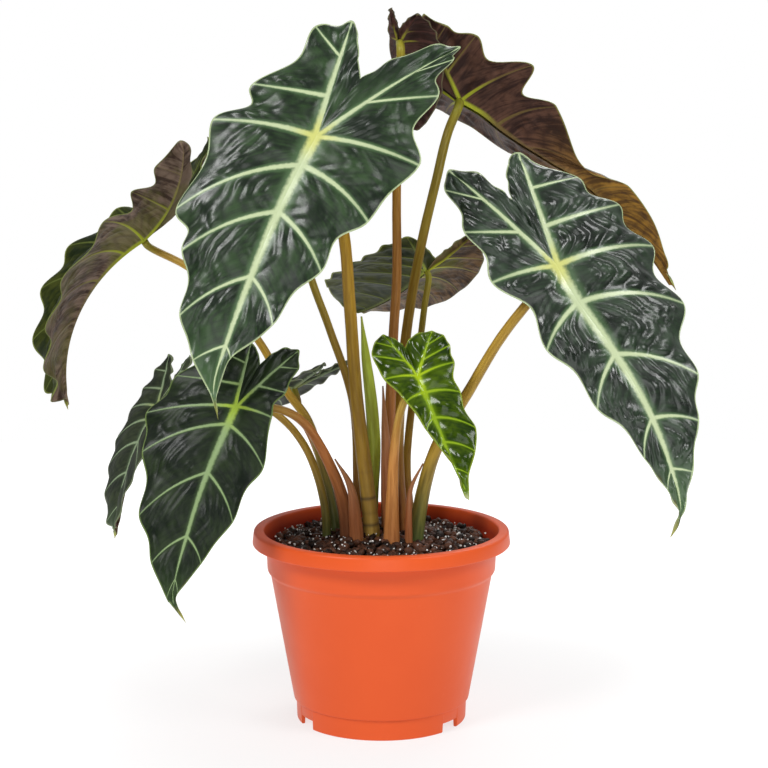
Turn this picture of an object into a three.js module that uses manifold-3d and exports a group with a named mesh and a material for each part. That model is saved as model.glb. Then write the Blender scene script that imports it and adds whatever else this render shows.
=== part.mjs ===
// Potted alocasia: a tapered plastic pot filled with bark and peat, a rhizome in
// the soil, and eleven arrow-shaped leaves that each stand on a petiole of their own,
// with a rolled new leaf and three dry sheaths between the petioles.
// Millimetres, +Z up. The origin is the middle of the pot's underside, and the plant's
// front faces -Y.
import * as THREE from 'three';
import { mergeVertices } from 'three/addons/utils/BufferGeometryUtils.js';
import Module from 'manifold-3d';

const wasm = await Module();
wasm.setup();

// Pot, by radius and height
const POT_HEIGHT = 127;
const RIM_RADIUS = 85;
const OPENING_RADIUS = 77.3;
const LIP_HEIGHT = 9.3;
const COLLAR_RADIUS = 75.8;
const STEP_HEIGHT = 98;
const BODY_TOP_RADIUS = 73;
const BODY_BOTTOM_RADIUS = 58.4;
const FOOT_RADIUS = 56;
const FOOT_HEIGHT = 13.8;
const WALL = 2.2;
const FLOOR = 2.6;
const BOSS_RADIUS = 15;
const POT_SEGMENTS = 48;
const NOTCH_BEARINGS = [86, 209.5, 323.3];
const NOTCH_WIDTH = 15.4;
const NOTCH_HEIGHT = 6;
const DRAIN_COUNT = 6;
const DRAIN_RADIUS = 4;
const DRAIN_RING_RADIUS = 36;

// Soil and rhizome
const SOIL_LEVEL = 116.5;
const SOIL_MOUND = 5.5;
const SOIL_MOUND_SPREAD = 34;
const SOIL_RINGS = 9;
const SOIL_SECTORS = 36;
const SOIL_ROUGHNESS = 1.3;
const RHIZOME_CENTRE = [-6, 9];
const RHIZOME_RADIUS = 43;
const RHIZOME_TOP = 98.2;
const RHIZOME_HEIGHT = 22;
const RHIZOME_DOME = 3;
const GAP = 0.55;
const CUT_TOLERANCE = 0.02;

// Blades
const BLADE_THICKNESS = 0.8;
const RIB_ABOVE = 0.3;
const RIB_BELOW = 1.3;
const DRIP_SHARE = 0.07;
const DRIP_HALF_WIDTH = 2.4;
const BAYS = [0, 0.3, 0.8, 1, 1, 1, 1, 0.8, -0.4, -0.3, 0, 0];
const LOBE_ROOTS = [0.34, 0.68];
const ACROSS_STEPS = [0, 0.08, 0.4, 0.74, 1];
const ACROSS_STEPS_SMALL = [0, 0.1, 0.55, 1];

// Petioles
const STEM_BOTTOM = 98.6;
const STEM_SIDES = 8;
const STEM_RINGS = 11;
const SOCKET_DEPTH = 34;
const SOCKET_BELOW = 6;
const NECK = 7;

// Colours
const TERRACOTTA = new THREE.MeshStandardMaterial({ color: 0xe4582c, roughness: 0.45 });
const SOIL_BROWN = new THREE.MeshStandardMaterial({ color: 0x2b1d17, roughness: 0.95 });
const RHIZOME_BROWN = new THREE.MeshStandardMaterial({ color: 0x6b4a31, roughness: 0.9 });
const BLADE_GREEN = new THREE.MeshStandardMaterial({ color: 0x1e3f30, roughness: 0.4 });
const YOUNG_GREEN = new THREE.MeshStandardMaterial({ color: 0x4f9a1e, roughness: 0.25 });
const PETIOLE_OLIVE = new THREE.MeshStandardMaterial({ color: 0x8a6a2a, roughness: 0.5 });
const SHEATH_BROWN = new THREE.MeshStandardMaterial({ color: 0xa8552f, roughness: 0.6 });

// A blade is drawn flat first. "across" is the distance from the midrib's axis, and
// "along" the distance from the junction with the petiole towards the tip, so the two
// back lobes have negative values. Each side lists where its veins reach the margin:
// four front veins from the tip backwards, the shoulder vein, two veins on the outside
// of the lobe, the lobe's tip, and two veins on the inside of the lobe. "roots" says
// where the front veins leave the midrib. "tipward" and "face" are the directions of
// the midrib and of the upper face at the junction. droop and lobeDroop bend the tip
// and the lobes down, fold raises each half from the midrib, and arch turns it down
// again towards the margin, all in degrees, left side first. twist turns the blade
// about its midrib on the way to the tip. scallop is the depth of the bays between
// veins, wave the rise and fall of the margin, and quilt the swelling between veins.
// bays, where a leaf has them, are the depths of its own bays, from the tip to the notch
// between the lobes, left side first. neck is the straight end of its petiole, and
// clearance the room between that end and the blade, where they are its own.
const LEAVES = [
  {
    name: 'front_leaf', base: [-6, -2], baseRadius: 5.8, topRadius: 3.6,
    junction: [-40, -50, 384], tipward: [-0.322, -0.3, -0.9], face: [0, -0.93, 0.37],
    length: 184, midrib: [[6, 46], [9, 93], [10, 138], [9, 166]], roots: [140, 95, 52, 20],
    left: [[26, 155], [42, 132], [54, 94], [67, 70], [64, 10], [48, -19], [24, -67],
      [4, -79], [-5, -66], [-9, -55]],
    right: [[-4, 147], [14, 120], [31, 80], [48, 41], [66, -3], [63, -50], [64, -77],
      [65, -87], [50, -82], [28, -61]],
    bays: [[0, 0, 1, 4, 6, 7, 11, 8, 3, -0.3, 0, 0], [0, 0, 0, 5, 7, 3, 10, 6, 3, 0, 0, 0]],
    sinus: [-14, -44.5], droop: 8, lobeDroop: 10, fold: [10, 10], arch: [27, 27],
    wave: 2.4, quilt: 1.6,
    stem: [[-10, -3, 160], [-16, -8, 213], [-20, -15, 273], [-24, -26, 324], [-32, -36, 358]],
  },
  {
    name: 'right_leaf', base: [22, -3], baseRadius: 5.8, topRadius: 3.1,
    junction: [111, -24, 302], tipward: [0.386, -0.27, -0.88], face: [0.05, -0.93, 0.35],
    length: 186, midrib: [[-3, 25], [-12.5, 68], [-18, 115], [-14, 170]],
    roots: [146, 112, 66, 27],
    left: [[-9, 158], [-3, 134], [13, 94], [28, 48], [43, -5], [46, -42], [46, -73],
      [38, -84], [22, -75], [12, -57]],
    right: [[29, 153], [46, 125], [58, 98], [75, 52], [75, 8], [60, -25], [38, -50],
      [8, -78], [-2, -73], [-7, -62]],
    bays: [[0, 0, 0, 5, 6, 10, 6, 5, 1, 0, 0, 0], [0, 0, 0, 1.5, 8, 11, 7, 6, 3, 0, 0, 0]],
    sinus: [9, -51], droop: 10, lobeDroop: 10, fold: [8, 4], arch: [27.5, 50],
    wave: 2, quilt: 1.8,
    stem: [[29, -5, 160], [38, -8, 187], [57, -12, 221], [76, -15, 254], [96, -18, 281]],
  },
  {
    name: 'high_right_leaf', base: [14.5, 14], baseRadius: 4.3, topRadius: 3.1,
    junction: [53, 80, 404], tipward: [0.776, 0.179, -0.605], face: [0.154, 0.876, 0.457],
    length: 201, midrib: [[3, 17], [3, 34], [5, 52], [9, 76], [13, 100], [11, 150]],
    roots: [148, 110, 56, 30],
    left: [[13, 179], [33, 126], [21, 92], [43, 50], [55, 18], [45, -23], [36, -42],
      [31, -58], [12, -42], [4, -30]],
    right: [[3, 176], [14, 146], [24, 108], [44, 58], [50, 8], [38, -17], [28, -34],
      [19, -50], [9, -39], [3, -30]],
    bays: [[0, 0, -4, 5, -2, 18, 13, 2, 0, 0, 0, 0], [0, 0, 0, 2, 5, 11, 3, 1, 0, 0, 0, 0]],
    sinus: [0, -22], droop: 12, lobeDroop: 1, fold: [8, 55], arch: [23.5, 21], twist: -14,
    wave: 1.5, quilt: 1.5,
    stem: [[11, 18, 176], [16, 30, 248], [26, 46, 307], [37, 60, 353], [45, 72, 384]],
  },
  {
    name: 'left_leaf', base: [-30, 14], baseRadius: 3.9, topRadius: 2.5,
    junction: [-160, 58, 312], tipward: [-0.857, -0.006, -0.515], face: [-0.485, -0.327, 0.811],
    ...typicalBlade(144, 38, 48, 82, 0), droop: 70, lobeDroop: -44, fold: [33, 62],
    arch: [32, 29], twist: 40, wave: 3, quilt: 1.3, scallop: 5, neck: 3,
    stem: [[-37, 20, 155], [-49, 26, 194], [-63, 31, 213], [-80, 38, 243], [-101, 45, 269],
      [-128, 52, 293]],
  },
  {
    name: 'middle_back_leaf', base: [20, 24], baseRadius: 3.4, topRadius: 2.2, small: true,
    junction: [31, 108, 287], tipward: [-0.426, 0.759, -0.493], face: [-0.339, 0.372, 0.865],
    ...typicalBlade(118, 46, 56, 36, 0), droop: -18, lobeDroop: -26, fold: [6, 25],
    arch: [39, 19], twist: -14, wave: 1.2, quilt: 1.2, scallop: 1.5, neck: 3,
    stem: [[17, 30, 160], [18, 38, 179], [27, 75, 245], [30, 95, 264]],
  },
  {
    name: 'low_front_leaf', base: [-22, 0], baseRadius: 6, topRadius: 2.5,
    junction: [-90, -62, 218], tipward: [-0.216, -0.358, -0.91], face: [-0.05, -0.93, 0.36],
    length: 137, midrib: [[3, 16], [8, 45], [11, 77], [12, 122]], roots: [112, 85, 44, 12],
    left: [[15, 125], [29, 106], [43, 79], [51, 40], [55, 15], [42, -12], [20, -33],
      [1, -42], [-5, -37], [-7, -33]],
    right: [[-9, 121], [1, 100], [14, 71], [25, 34], [23, 2], [28, -16], [32, -34],
      [29, -46], [20, -45], [13, -38]],
    bays: [[0, 0, 0, 2.5, 3.5, 1, 3, 2, 0, 0, 0, 0], [0, 0, 0, 1, 3.5, 0, 2, 1, 0, 0, 0, 0]],
    sinus: [-8, -30], droop: 8, lobeDroop: 12, fold: [8, 4], arch: [30, 50],
    wave: 1.4, quilt: 1.4,
    stem: [[-26, -6, 150], [-40, -18, 186], [-49, -26, 201], [-58, -33, 209], [-74, -45, 215]],
  },
  {
    name: 'low_left_leaf', base: [-36, 3], baseRadius: 3.2, topRadius: 2.2,
    junction: [-144, -14, 210], tipward: [-0.494, -0.389, -0.778], face: [-0.712, -0.334, 0.618],
    ...typicalBlade(90, 34, 31, 37, 0), droop: 30, lobeDroop: -8, fold: [16, 19],
    arch: [26, 23], twist: -7, wave: 1, quilt: 1.2, scallop: 0.8,
    stem: [[-38, 3, 145], [-49, 2, 179], [-65, 0, 200], [-85, -3, 212], [-117, -8, 214]],
  },
  {
    name: 'low_back_leaf', base: [-24, 26], baseRadius: 2.6, topRadius: 1.9, small: true,
    junction: [-60, 64, 211], tipward: [-0.7, 0.55, -0.45], face: [-0.35, 0.3, 0.9],
    ...typicalBlade(76, 27, 27, 44, 0), droop: 14, lobeDroop: 1, fold: [12, 12],
    arch: [30, 30], wave: 1, quilt: 1, scallop: 1,
    stem: [[-37, 32, 153], [-47, 46, 177], [-55, 56, 192]],
  },
  {
    name: 'young_leaf', base: [6.5, -14], baseRadius: 6.9, topRadius: 2.4, small: true,
    young: true,
    junction: [23, -42, 234], tipward: [0.37, -0.44, -0.82], face: [0.1, -0.9, 0.42],
    length: 86, midrib: [[0.5, 15], [1, 35], [1, 60], [0, 75]], roots: [64, 46, 29, 12],
    left: [[0, 66], [5, 50], [9, 36], [14, 14], [21, -5], [22, -23], [17, -31],
      [10, -34], [4, -29], [1, -24]],
    right: [[6, 71], [15, 59], [21, 45], [21, 20], [25, 0], [27, -12], [26, -20],
      [20, -25], [11, -27], [4, -25]],
    bays: [[0, 0, 0, 0.5, 1, 1, 0.5, 0, 0, 0, 0, 0], [0, 0, 0, 0, 2, 2, 0.5, 0, 0, 0, 0, 0]],
    sinus: [0, -21], droop: 6, lobeDroop: 10, fold: [14, 14], arch: [34, 23],
    wave: 0.8, quilt: 1.1,
    stem: [[7, -15, 150], [9, -18, 189], [14, -27, 214]],
  },
  {
    name: 'crown_leaf', base: [4, 10], baseRadius: 4.4, topRadius: 2.8, small: true,
    clearance: 1.1,
    junction: [12, 34, 443], tipward: [0.1, 0.55, -0.83], face: [-0.05, 0.83, 0.55],
    ...typicalBlade(84, 27, 15, 22, 0), droop: -14, lobeDroop: 20, fold: [4, 66],
    arch: [30, 14], wave: 0.8, quilt: 1.2, scallop: 0.8,
    stem: [[4, 10, 157], [6, 12, 210], [8, 14, 256], [10, 17, 290], [10, 26, 349],
      [12, 37, 413]],
  },
  {
    name: 'upper_back_leaf', base: [-17, 15], baseRadius: 3.4, topRadius: 2.5, small: true,
    junction: [-63, 32, 342], tipward: [-0.45, 0.5, -0.74], face: [-0.35, 0.7, 0.62],
    ...typicalBlade(110, 38, 38, 46, 0), droop: 8, lobeDroop: 6, fold: [10, 10],
    arch: [30, 30], wave: 1.2, quilt: 1.2, scallop: 1.2,
    stem: [[-16, 16, 156], [-19, 17, 209], [-34, 19, 256], [-45, 22, 286], [-55, 27, 318]],
  },
];

// The rolled new leaf and the sheaths stand in the soil as the petioles do.
// Each is a tapered strip, given by its middle line, half-width and half-thickness.
const SPEAR = {
  name: 'new_leaf_spear', base: [-7, 13],
  stem: [[-6, 12, 150], [-5, 11, 177], [-7, 10, 211], [-10, 9, 237], [-13, 8, 266]],
  widths: [3.4, 3.8, 4.2, 4.4, 4, 3, 0.6],
};
const SHEATHS = [
  {
    name: 'left_sheath', base: [-15.5, -12], turn: 20,
    stem: [[-16.5, -12.5, 134], [-20, -14, 158], [-30, -15, 176]],
    widths: [4.5, 5, 4.2, 2.4, 0.5], thickness: 1,
  },
  {
    name: 'middle_sheath', base: [5.5, 1.5], turn: 0,
    stem: [[4, 1.8, 140], [3, 2, 180], [1, 2.5, 221]],
    widths: [2.8, 4, 3.8, 2.6, 0.5], thickness: 1,
  },
  {
    name: 'right_sheath', base: [17.5, -13.5], turn: -35,
    stem: [[17.5, -13.5, 138], [19, -14, 156], [27, -15, 173]],
    widths: [2.6, 3, 2.6, 1.6, 0.5], thickness: 0.9,
  },
];

/** A blade drawn from its length, its half-widths left and right, the length of its
 * back lobes and how far its midrib sways to the left. */
function typicalBlade(length, left, right, lobe, sway) {
  const swayAt = (share) => 4 * sway * share * (1 - share);
  const side = (halfWidth, sign) => [
    [0.33 * halfWidth + sign * swayAt(0.9), 0.9 * length],
    [0.68 * halfWidth + sign * swayAt(0.7), 0.7 * length],
    [0.92 * halfWidth + sign * swayAt(0.5), 0.5 * length],
    [halfWidth + sign * swayAt(0.3), 0.3 * length],
    [halfWidth, 0.05 * length], [0.92 * halfWidth, -0.3 * lobe],
    [0.76 * halfWidth, -0.68 * lobe], [0.5 * halfWidth, -lobe],
    [0.26 * halfWidth, -0.82 * lobe], [0.12 * halfWidth, -0.62 * lobe],
  ];
  return {
    length,
    midrib: [0.3, 0.6, 0.9].map((share) => [swayAt(share), share * length]),
    roots: [0.76 * length, 0.52 * length, 0.29 * length, 0.11 * length],
    left: side(left, 1), right: side(right, -1), sinus: [0, -0.45 * lobe],
  };
}

const radians = THREE.MathUtils.degToRad;
const lerp = THREE.MathUtils.lerp;

/** A fixed number from 0 to 1 for each whole number, for small irregularities. */
function scatter(index) {
  const value = Math.sin(index * 12.9898 + 4.1414) * 43758.5453;
  return value - Math.floor(value);
}

/** A mesh of the group, from a geometry or a boolean's result. */
function named(name, geometry, material) {
  const mesh = new THREE.Mesh(geometry, material);
  mesh.name = name;
  return mesh;
}

/** The geometry as a solid for joins and cuts. */
function solidOf(geometry) {
  const bare = geometry.clone();
  bare.deleteAttribute('normal');
  bare.deleteAttribute('uv');
  const merged = mergeVertices(bare, 1e-4);
  return new wasm.Manifold(new wasm.Mesh({
    numProp: 3,
    vertProperties: new Float32Array(merged.attributes.position.array),
    triVerts: new Uint32Array(merged.index.array),
  }));
}

/** A solid's surface as a geometry again. */
function geometryOf(solid) {
  const mesh = solid.getMesh();
  const geometry = new THREE.BufferGeometry();
  geometry.setAttribute('position', new THREE.BufferAttribute(new Float32Array(mesh.vertProperties), 3));
  geometry.setIndex(new THREE.BufferAttribute(new Uint32Array(mesh.triVerts), 1));
  geometry.computeVertexNormals();
  return geometry;
}

/** A geometry from lists of points and corner numbers, merged where points meet. */
function geometryFrom(points, corners) {
  const geometry = new THREE.BufferGeometry();
  const values = points.flatMap((point) => [point.x, point.y, point.z]);
  geometry.setAttribute('position', new THREE.Float32BufferAttribute(values, 3));
  geometry.setIndex(corners);
  const merged = mergeVertices(geometry, 1e-4);
  merged.computeVertexNormals();
  return merged;
}

/** A solid of revolution about Z from a profile of [radius, height] points. */
function turned(profile, segments) {
  const outline = profile.map(([radius, height]) => new THREE.Vector2(radius, height));
  return new THREE.LatheGeometry(outline, segments).rotateX(Math.PI / 2);
}

/** The pot: a thin tapered wall, a hollow foot with notches, and a floor with drains. */
function potGeometry() {
  const lip = POT_HEIGHT - LIP_HEIGHT;
  const floorBelow = FOOT_HEIGHT - FLOOR;
  const profile = [
    [0, 0], [BOSS_RADIUS, 0], [BOSS_RADIUS + 1.5, floorBelow],
    [FOOT_RADIUS - WALL - 0.6, floorBelow], [FOOT_RADIUS - WALL, 0], [FOOT_RADIUS - 0.6, 0],
    [FOOT_RADIUS, 0.8], [FOOT_RADIUS + 0.5, FOOT_HEIGHT - 0.6],
    [BODY_BOTTOM_RADIUS - 0.9, FOOT_HEIGHT], [BODY_BOTTOM_RADIUS, FOOT_HEIGHT + 2.6],
    [BODY_TOP_RADIUS, STEP_HEIGHT], [COLLAR_RADIUS - 1, STEP_HEIGHT + 2.4],
    [COLLAR_RADIUS, lip], [RIM_RADIUS - 0.8, lip], [RIM_RADIUS, lip + 0.9],
    [RIM_RADIUS - 1, POT_HEIGHT - 1.4], [RIM_RADIUS - 2.2, POT_HEIGHT],
    [OPENING_RADIUS + 0.9, POT_HEIGHT], [OPENING_RADIUS, POT_HEIGHT - 1.2],
    [OPENING_RADIUS - 1.4, lip], [COLLAR_RADIUS - WALL - 1, STEP_HEIGHT + 2.4],
    [BODY_TOP_RADIUS - WALL, STEP_HEIGHT - 1.5], [BODY_BOTTOM_RADIUS - WALL, FOOT_HEIGHT + 4],
    [BODY_BOTTOM_RADIUS - WALL - 3, FOOT_HEIGHT], [0, FOOT_HEIGHT],
  ];
  let pot = solidOf(turned(profile, POT_SEGMENTS));
  for (const bearing of NOTCH_BEARINGS) {
    const cutter = new THREE.BoxGeometry(2 * WALL + 8, NOTCH_WIDTH, 2 * NOTCH_HEIGHT);
    cutter.translate(FOOT_RADIUS - 1, 0, 0).rotateZ(radians(bearing));
    pot = pot.subtract(solidOf(cutter));
  }
  for (let hole = 0; hole < DRAIN_COUNT; hole += 1) {
    const cutter = new THREE.CylinderGeometry(DRAIN_RADIUS, DRAIN_RADIUS, 4 * FLOOR, 8);
    cutter.rotateX(Math.PI / 2).translate(DRAIN_RING_RADIUS, 0, FOOT_HEIGHT - FLOOR / 2);
    cutter.rotateZ((hole * 2 * Math.PI) / DRAIN_COUNT);
    pot = pot.subtract(solidOf(cutter));
  }
  return geometryOf(pot);
}

/** The pot's inner radius at a height between its floor and its rim. */
function innerRadius(height) {
  const bottom = [FOOT_HEIGHT + 4, BODY_BOTTOM_RADIUS - WALL];
  const step = [STEP_HEIGHT - 1.5, BODY_TOP_RADIUS - WALL];
  const share = (height - bottom[0]) / (step[0] - bottom[0]);
  return Math.min(lerp(bottom[1], step[1], share), COLLAR_RADIUS - WALL - 1);
}

/** Height of the soil at a place: a low mound round the stems, and lumps of bark. */
function soilHeight(x, y) {
  const fromStems = Math.hypot(x - RHIZOME_CENTRE[0], y - RHIZOME_CENTRE[1]);
  const mound = SOIL_MOUND * Math.exp(-((fromStems / SOIL_MOUND_SPREAD) ** 2));
  const lumps = Math.sin(0.31 * x + 1.3) * Math.cos(0.27 * y - 0.4)
    + Math.sin(0.55 * y + 0.2 * x) * Math.cos(0.61 * x);
  return SOIL_LEVEL + mound + 0.5 * SOIL_ROUGHNESS * lumps;
}

/** The soil without its holes: a lumpy top on a plug that fills the pot. */
function soilPlug() {
  const floor = FOOT_HEIGHT + GAP;
  const points = [new THREE.Vector3(0, 0, soilHeight(0, 0))];
  const rim = innerRadius(SOIL_LEVEL) - GAP;
  for (let ring = 1; ring <= SOIL_RINGS; ring += 1) {
    for (let sector = 0; sector < SOIL_SECTORS; sector += 1) {
      const angle = (2 * Math.PI * (sector + 0.5 * (ring % 2))) / SOIL_SECTORS;
      const radius = (rim * ring) / SOIL_RINGS;
      const rough = ring < SOIL_RINGS ? SOIL_ROUGHNESS * (scatter(ring * 97 + sector) - 0.5) : 0;
      const x = radius * Math.cos(angle);
      const y = radius * Math.sin(angle);
      points.push(new THREE.Vector3(x, y, soilHeight(x, y) + rough));
    }
  }
  const walls = [STEP_HEIGHT + 4, STEP_HEIGHT - 3, FOOT_HEIGHT + 4, floor];
  for (const height of walls) {
    const inset = height === floor ? innerRadius(height + 4) - 3.6 : innerRadius(height) - GAP;
    for (let sector = 0; sector < SOIL_SECTORS; sector += 1) {
      const angle = (2 * Math.PI * (sector + 0.5 * (SOIL_RINGS % 2))) / SOIL_SECTORS;
      points.push(new THREE.Vector3(inset * Math.cos(angle), inset * Math.sin(angle), height));
    }
  }
  points.push(new THREE.Vector3(0, 0, floor));
  const corners = [];
  const at = (ring, sector) => 1 + (ring - 1) * SOIL_SECTORS + (sector % SOIL_SECTORS);
  const last = SOIL_RINGS + walls.length;
  for (let sector = 0; sector < SOIL_SECTORS; sector += 1) {
    corners.push(0, at(1, sector), at(1, sector + 1));
    corners.push(points.length - 1, at(last, sector + 1), at(last, sector));
    for (let ring = 1; ring < last; ring += 1) {
      const skew = ring < SOIL_RINGS && ring % 2 === 1;
      const inner = [at(ring, sector), at(ring, sector + 1)];
      const outer = [at(ring + 1, sector), at(ring + 1, sector + 1)];
      if (skew) {
        corners.push(inner[0], outer[0], outer[1], inner[0], outer[1], inner[1]);
      } else {
        corners.push(inner[0], outer[0], inner[1], inner[1], outer[0], outer[1]);
      }
    }
  }
  return geometryFrom(points, corners);
}

/** The rhizome: a knobbly disc, grown by a margin where it is the soil's cavity. */
function rhizomeGeometry(grow) {
  const radius = RHIZOME_RADIUS + grow;
  const top = RHIZOME_TOP + grow;
  const bottom = RHIZOME_TOP - RHIZOME_HEIGHT - grow;
  const profile = [
    [0, bottom], [0.55 * radius, bottom + 1], [0.9 * radius, bottom + 8],
    [radius, top - 8], [0.96 * radius, top - RHIZOME_DOME], [0.1 * radius, top], [0, top],
  ];
  return turned(profile, 20).translate(RHIZOME_CENTRE[0], RHIZOME_CENTRE[1], 0);
}

/** A curve through a stem's points, from its foot in the soil to its end. */
function stemCurve(base, points, end) {
  const route = [
    new THREE.Vector3(base[0], base[1], STEM_BOTTOM),
    new THREE.Vector3(base[0], base[1], STEM_BOTTOM + 18),
    ...points.map((point) => new THREE.Vector3(...point)),
    ...end,
  ];
  return new THREE.CatmullRomCurve3(route, false, 'centripetal');
}

/** A closed tube along a curve. size(t) gives its half-width and half-thickness at t,
 * turn the bearing of its width. rings stops it short, and grow widens it all round. */
function tube(curve, size, { sides = STEM_SIDES, rings = STEM_RINGS, turn = 0, grow = 0, sink = 0, stop = rings } = {}) {
  const points = [];
  const corners = [];
  const frames = curve.computeFrenetFrames(rings, false);
  const width = new THREE.Vector3(Math.cos(radians(turn)), Math.sin(radians(turn)), 0);
  const depth = new THREE.Vector3();
  const across = new THREE.Vector3();
  for (let ring = 0; ring <= stop; ring += 1) {
    const t = ring / rings;
    const centre = curve.getPointAt(t);
    const tangent = frames.tangents[ring];
    across.copy(width).addScaledVector(tangent, -width.dot(tangent)).normalize();
    depth.crossVectors(tangent, across);
    if (ring === 0) centre.z -= sink;
    const [half, thick] = size(t);
    for (let side = 0; side < sides; side += 1) {
      const angle = (2 * Math.PI * (side + 0.5)) / sides;
      points.push(centre.clone()
        .addScaledVector(across, (half + grow) * Math.cos(angle))
        .addScaledVector(depth, (thick + grow) * Math.sin(angle)));
    }
  }
  for (let ring = 0; ring < stop; ring += 1) {
    for (let side = 0; side < sides; side += 1) {
      const next = (side + 1) % sides;
      const low = [ring * sides + side, ring * sides + next];
      const high = [(ring + 1) * sides + side, (ring + 1) * sides + next];
      corners.push(low[0], low[1], high[1], low[0], high[1], high[0]);
    }
  }
  const top = stop * sides;
  for (let side = 1; side < sides - 1; side += 1) {
    corners.push(0, side + 1, side);
    corners.push(top, top + side, top + side + 1);
  }
  return geometryFrom(points, corners);
}

/** Value at a place in a list of [value, place] pairs, straight between them. */
function between(pairs, place) {
  if (place <= pairs[0][1]) return pairs[0][0];
  for (let i = 1; i < pairs.length; i += 1) {
    if (place <= pairs[i][1]) {
      const share = (place - pairs[i - 1][1]) / (pairs[i][1] - pairs[i - 1][1]);
      return lerp(pairs[i - 1][0], pairs[i][0], share);
    }
  }
  return pairs[pairs.length - 1][0];
}

/** A blade's own directions and the curves that its drawing needs. */
function bladeFrame(leaf) {
  const tipward = new THREE.Vector3(...leaf.tipward).normalize();
  const normal = new THREE.Vector3(...leaf.face);
  normal.addScaledVector(tipward, -normal.dot(tipward)).normalize();
  const leftward = new THREE.Vector3().crossVectors(tipward, normal);
  const midribCurve = new THREE.SplineCurve(
    [[0, 0], ...leaf.midrib, [0, leaf.length]].map(([across, along]) => new THREE.Vector2(across, along)),
  );
  const midrib = midribCurve.getPoints(24).map((point) => [point.x, point.y]);
  return { tipward, normal, leftward, midrib, halfWidth: Math.max(leaf.left[4][0], leaf.right[4][0]) };
}

/** A place of the flat drawing, bent into the leaf's form. */
function bent(leaf, frame, across, along) {
  const middle = along > 0 ? between(frame.midrib, along) : 0;
  const lobe = Math.hypot(...leaf.left[7]);
  const rate = along > 0 ? radians(leaf.droop) / leaf.length : radians(leaf.lobeDroop) / lobe;
  const turn = rate * along;
  const forward = Math.sin(turn) / rate;
  const down = (1 - Math.cos(turn)) / rate;
  const upright = frame.normal.clone().multiplyScalar(Math.cos(turn))
    .addScaledVector(frame.tipward, Math.sin(turn));
  const twist = (radians(leaf.twist ?? 0) * along) / leaf.length;
  const sideways = frame.leftward.clone().multiplyScalar(Math.cos(twist))
    .addScaledVector(upright, Math.sin(twist));
  upright.multiplyScalar(Math.cos(twist)).addScaledVector(frame.leftward, -Math.sin(twist));
  const offset = across - middle;
  const side = offset >= 0 ? 0 : 1;
  const fold = radians(leaf.fold[side]);
  const curl = -radians(leaf.arch[side]) / frame.halfWidth;
  const reach = Math.abs(offset);
  const outward = (Math.sin(fold + curl * reach) - Math.sin(fold)) / curl;
  const rise = (Math.cos(fold) - Math.cos(fold + curl * reach)) / curl;
  return new THREE.Vector3(...leaf.junction)
    .addScaledVector(frame.tipward, forward)
    .addScaledVector(frame.normal, -down)
    .addScaledVector(frame.leftward, middle)
    .addScaledVector(sideways, Math.sign(offset) * outward)
    .addScaledVector(upright, rise);
}

/** The direction that the upper face looks in at a place of the drawing. */
function facing(leaf, frame, across, along) {
  const step = 0.5;
  const alongEdge = bent(leaf, frame, across, along + step).sub(bent(leaf, frame, across, along - step));
  const acrossEdge = bent(leaf, frame, across + step, along).sub(bent(leaf, frame, across - step, along));
  return acrossEdge.cross(alongEdge).normalize();
}

/** A blade's rows, from its tip round one margin to the notch between the lobes.
 * A row runs from a rib to the margin, along a vein or midway between two, where the
 * margin has its bay. */
function bladeRows(leaf, frame, ends, bays) {
  const lobeTip = new THREE.Vector2(...ends[7]);
  const lobe = lobeTip.length();
  const dripAlong = (1 - DRIP_SHARE) * leaf.length;
  const drip = [between(frame.midrib, dripAlong) + Math.sign(ends[4][0]) * DRIP_HALF_WIDTH, dripAlong];
  const margin = [[0, leaf.length], drip, ...ends, leaf.sinus].map((end) => new THREE.Vector2(...end));
  const outer = LOBE_ROOTS.map((share) => -share * lobe);
  const roots = [
    0.97 * leaf.length, 0.9 * leaf.length, ...leaf.roots, 0,
    ...outer, -0.93 * lobe, ...outer.toReversed(), 0,
  ];
  const outline = new THREE.SplineCurve(margin);
  const rows = [];
  for (let step = 0; step <= 2 * (margin.length - 1); step += 1) {
    const vein = Math.floor(step / 2);
    const midway = step % 2 === 1;
    const root = midway ? (roots[vein] + roots[vein + 1]) / 2 : roots[vein];
    const start = root >= 0
      ? new THREE.Vector2(between(frame.midrib, root), root)
      : lobeTip.clone().multiplyScalar(-root / lobe);
    const end = outline.getPoint(step / (2 * (margin.length - 1)));
    if (midway) {
      end.addScaledVector(start.clone().sub(end).normalize(), bays[vein]);
    }
    const shared = step === 0 || step === 2 * (margin.length - 1);
    const lift = shared ? 0 : leaf.wave * (midway ? -1 : 1) * (0.5 + scatter(vein + leaf.length));
    rows.push({ start, end, lift, puff: midway ? leaf.quilt : 0 });
  }
  return rows;
}

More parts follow.
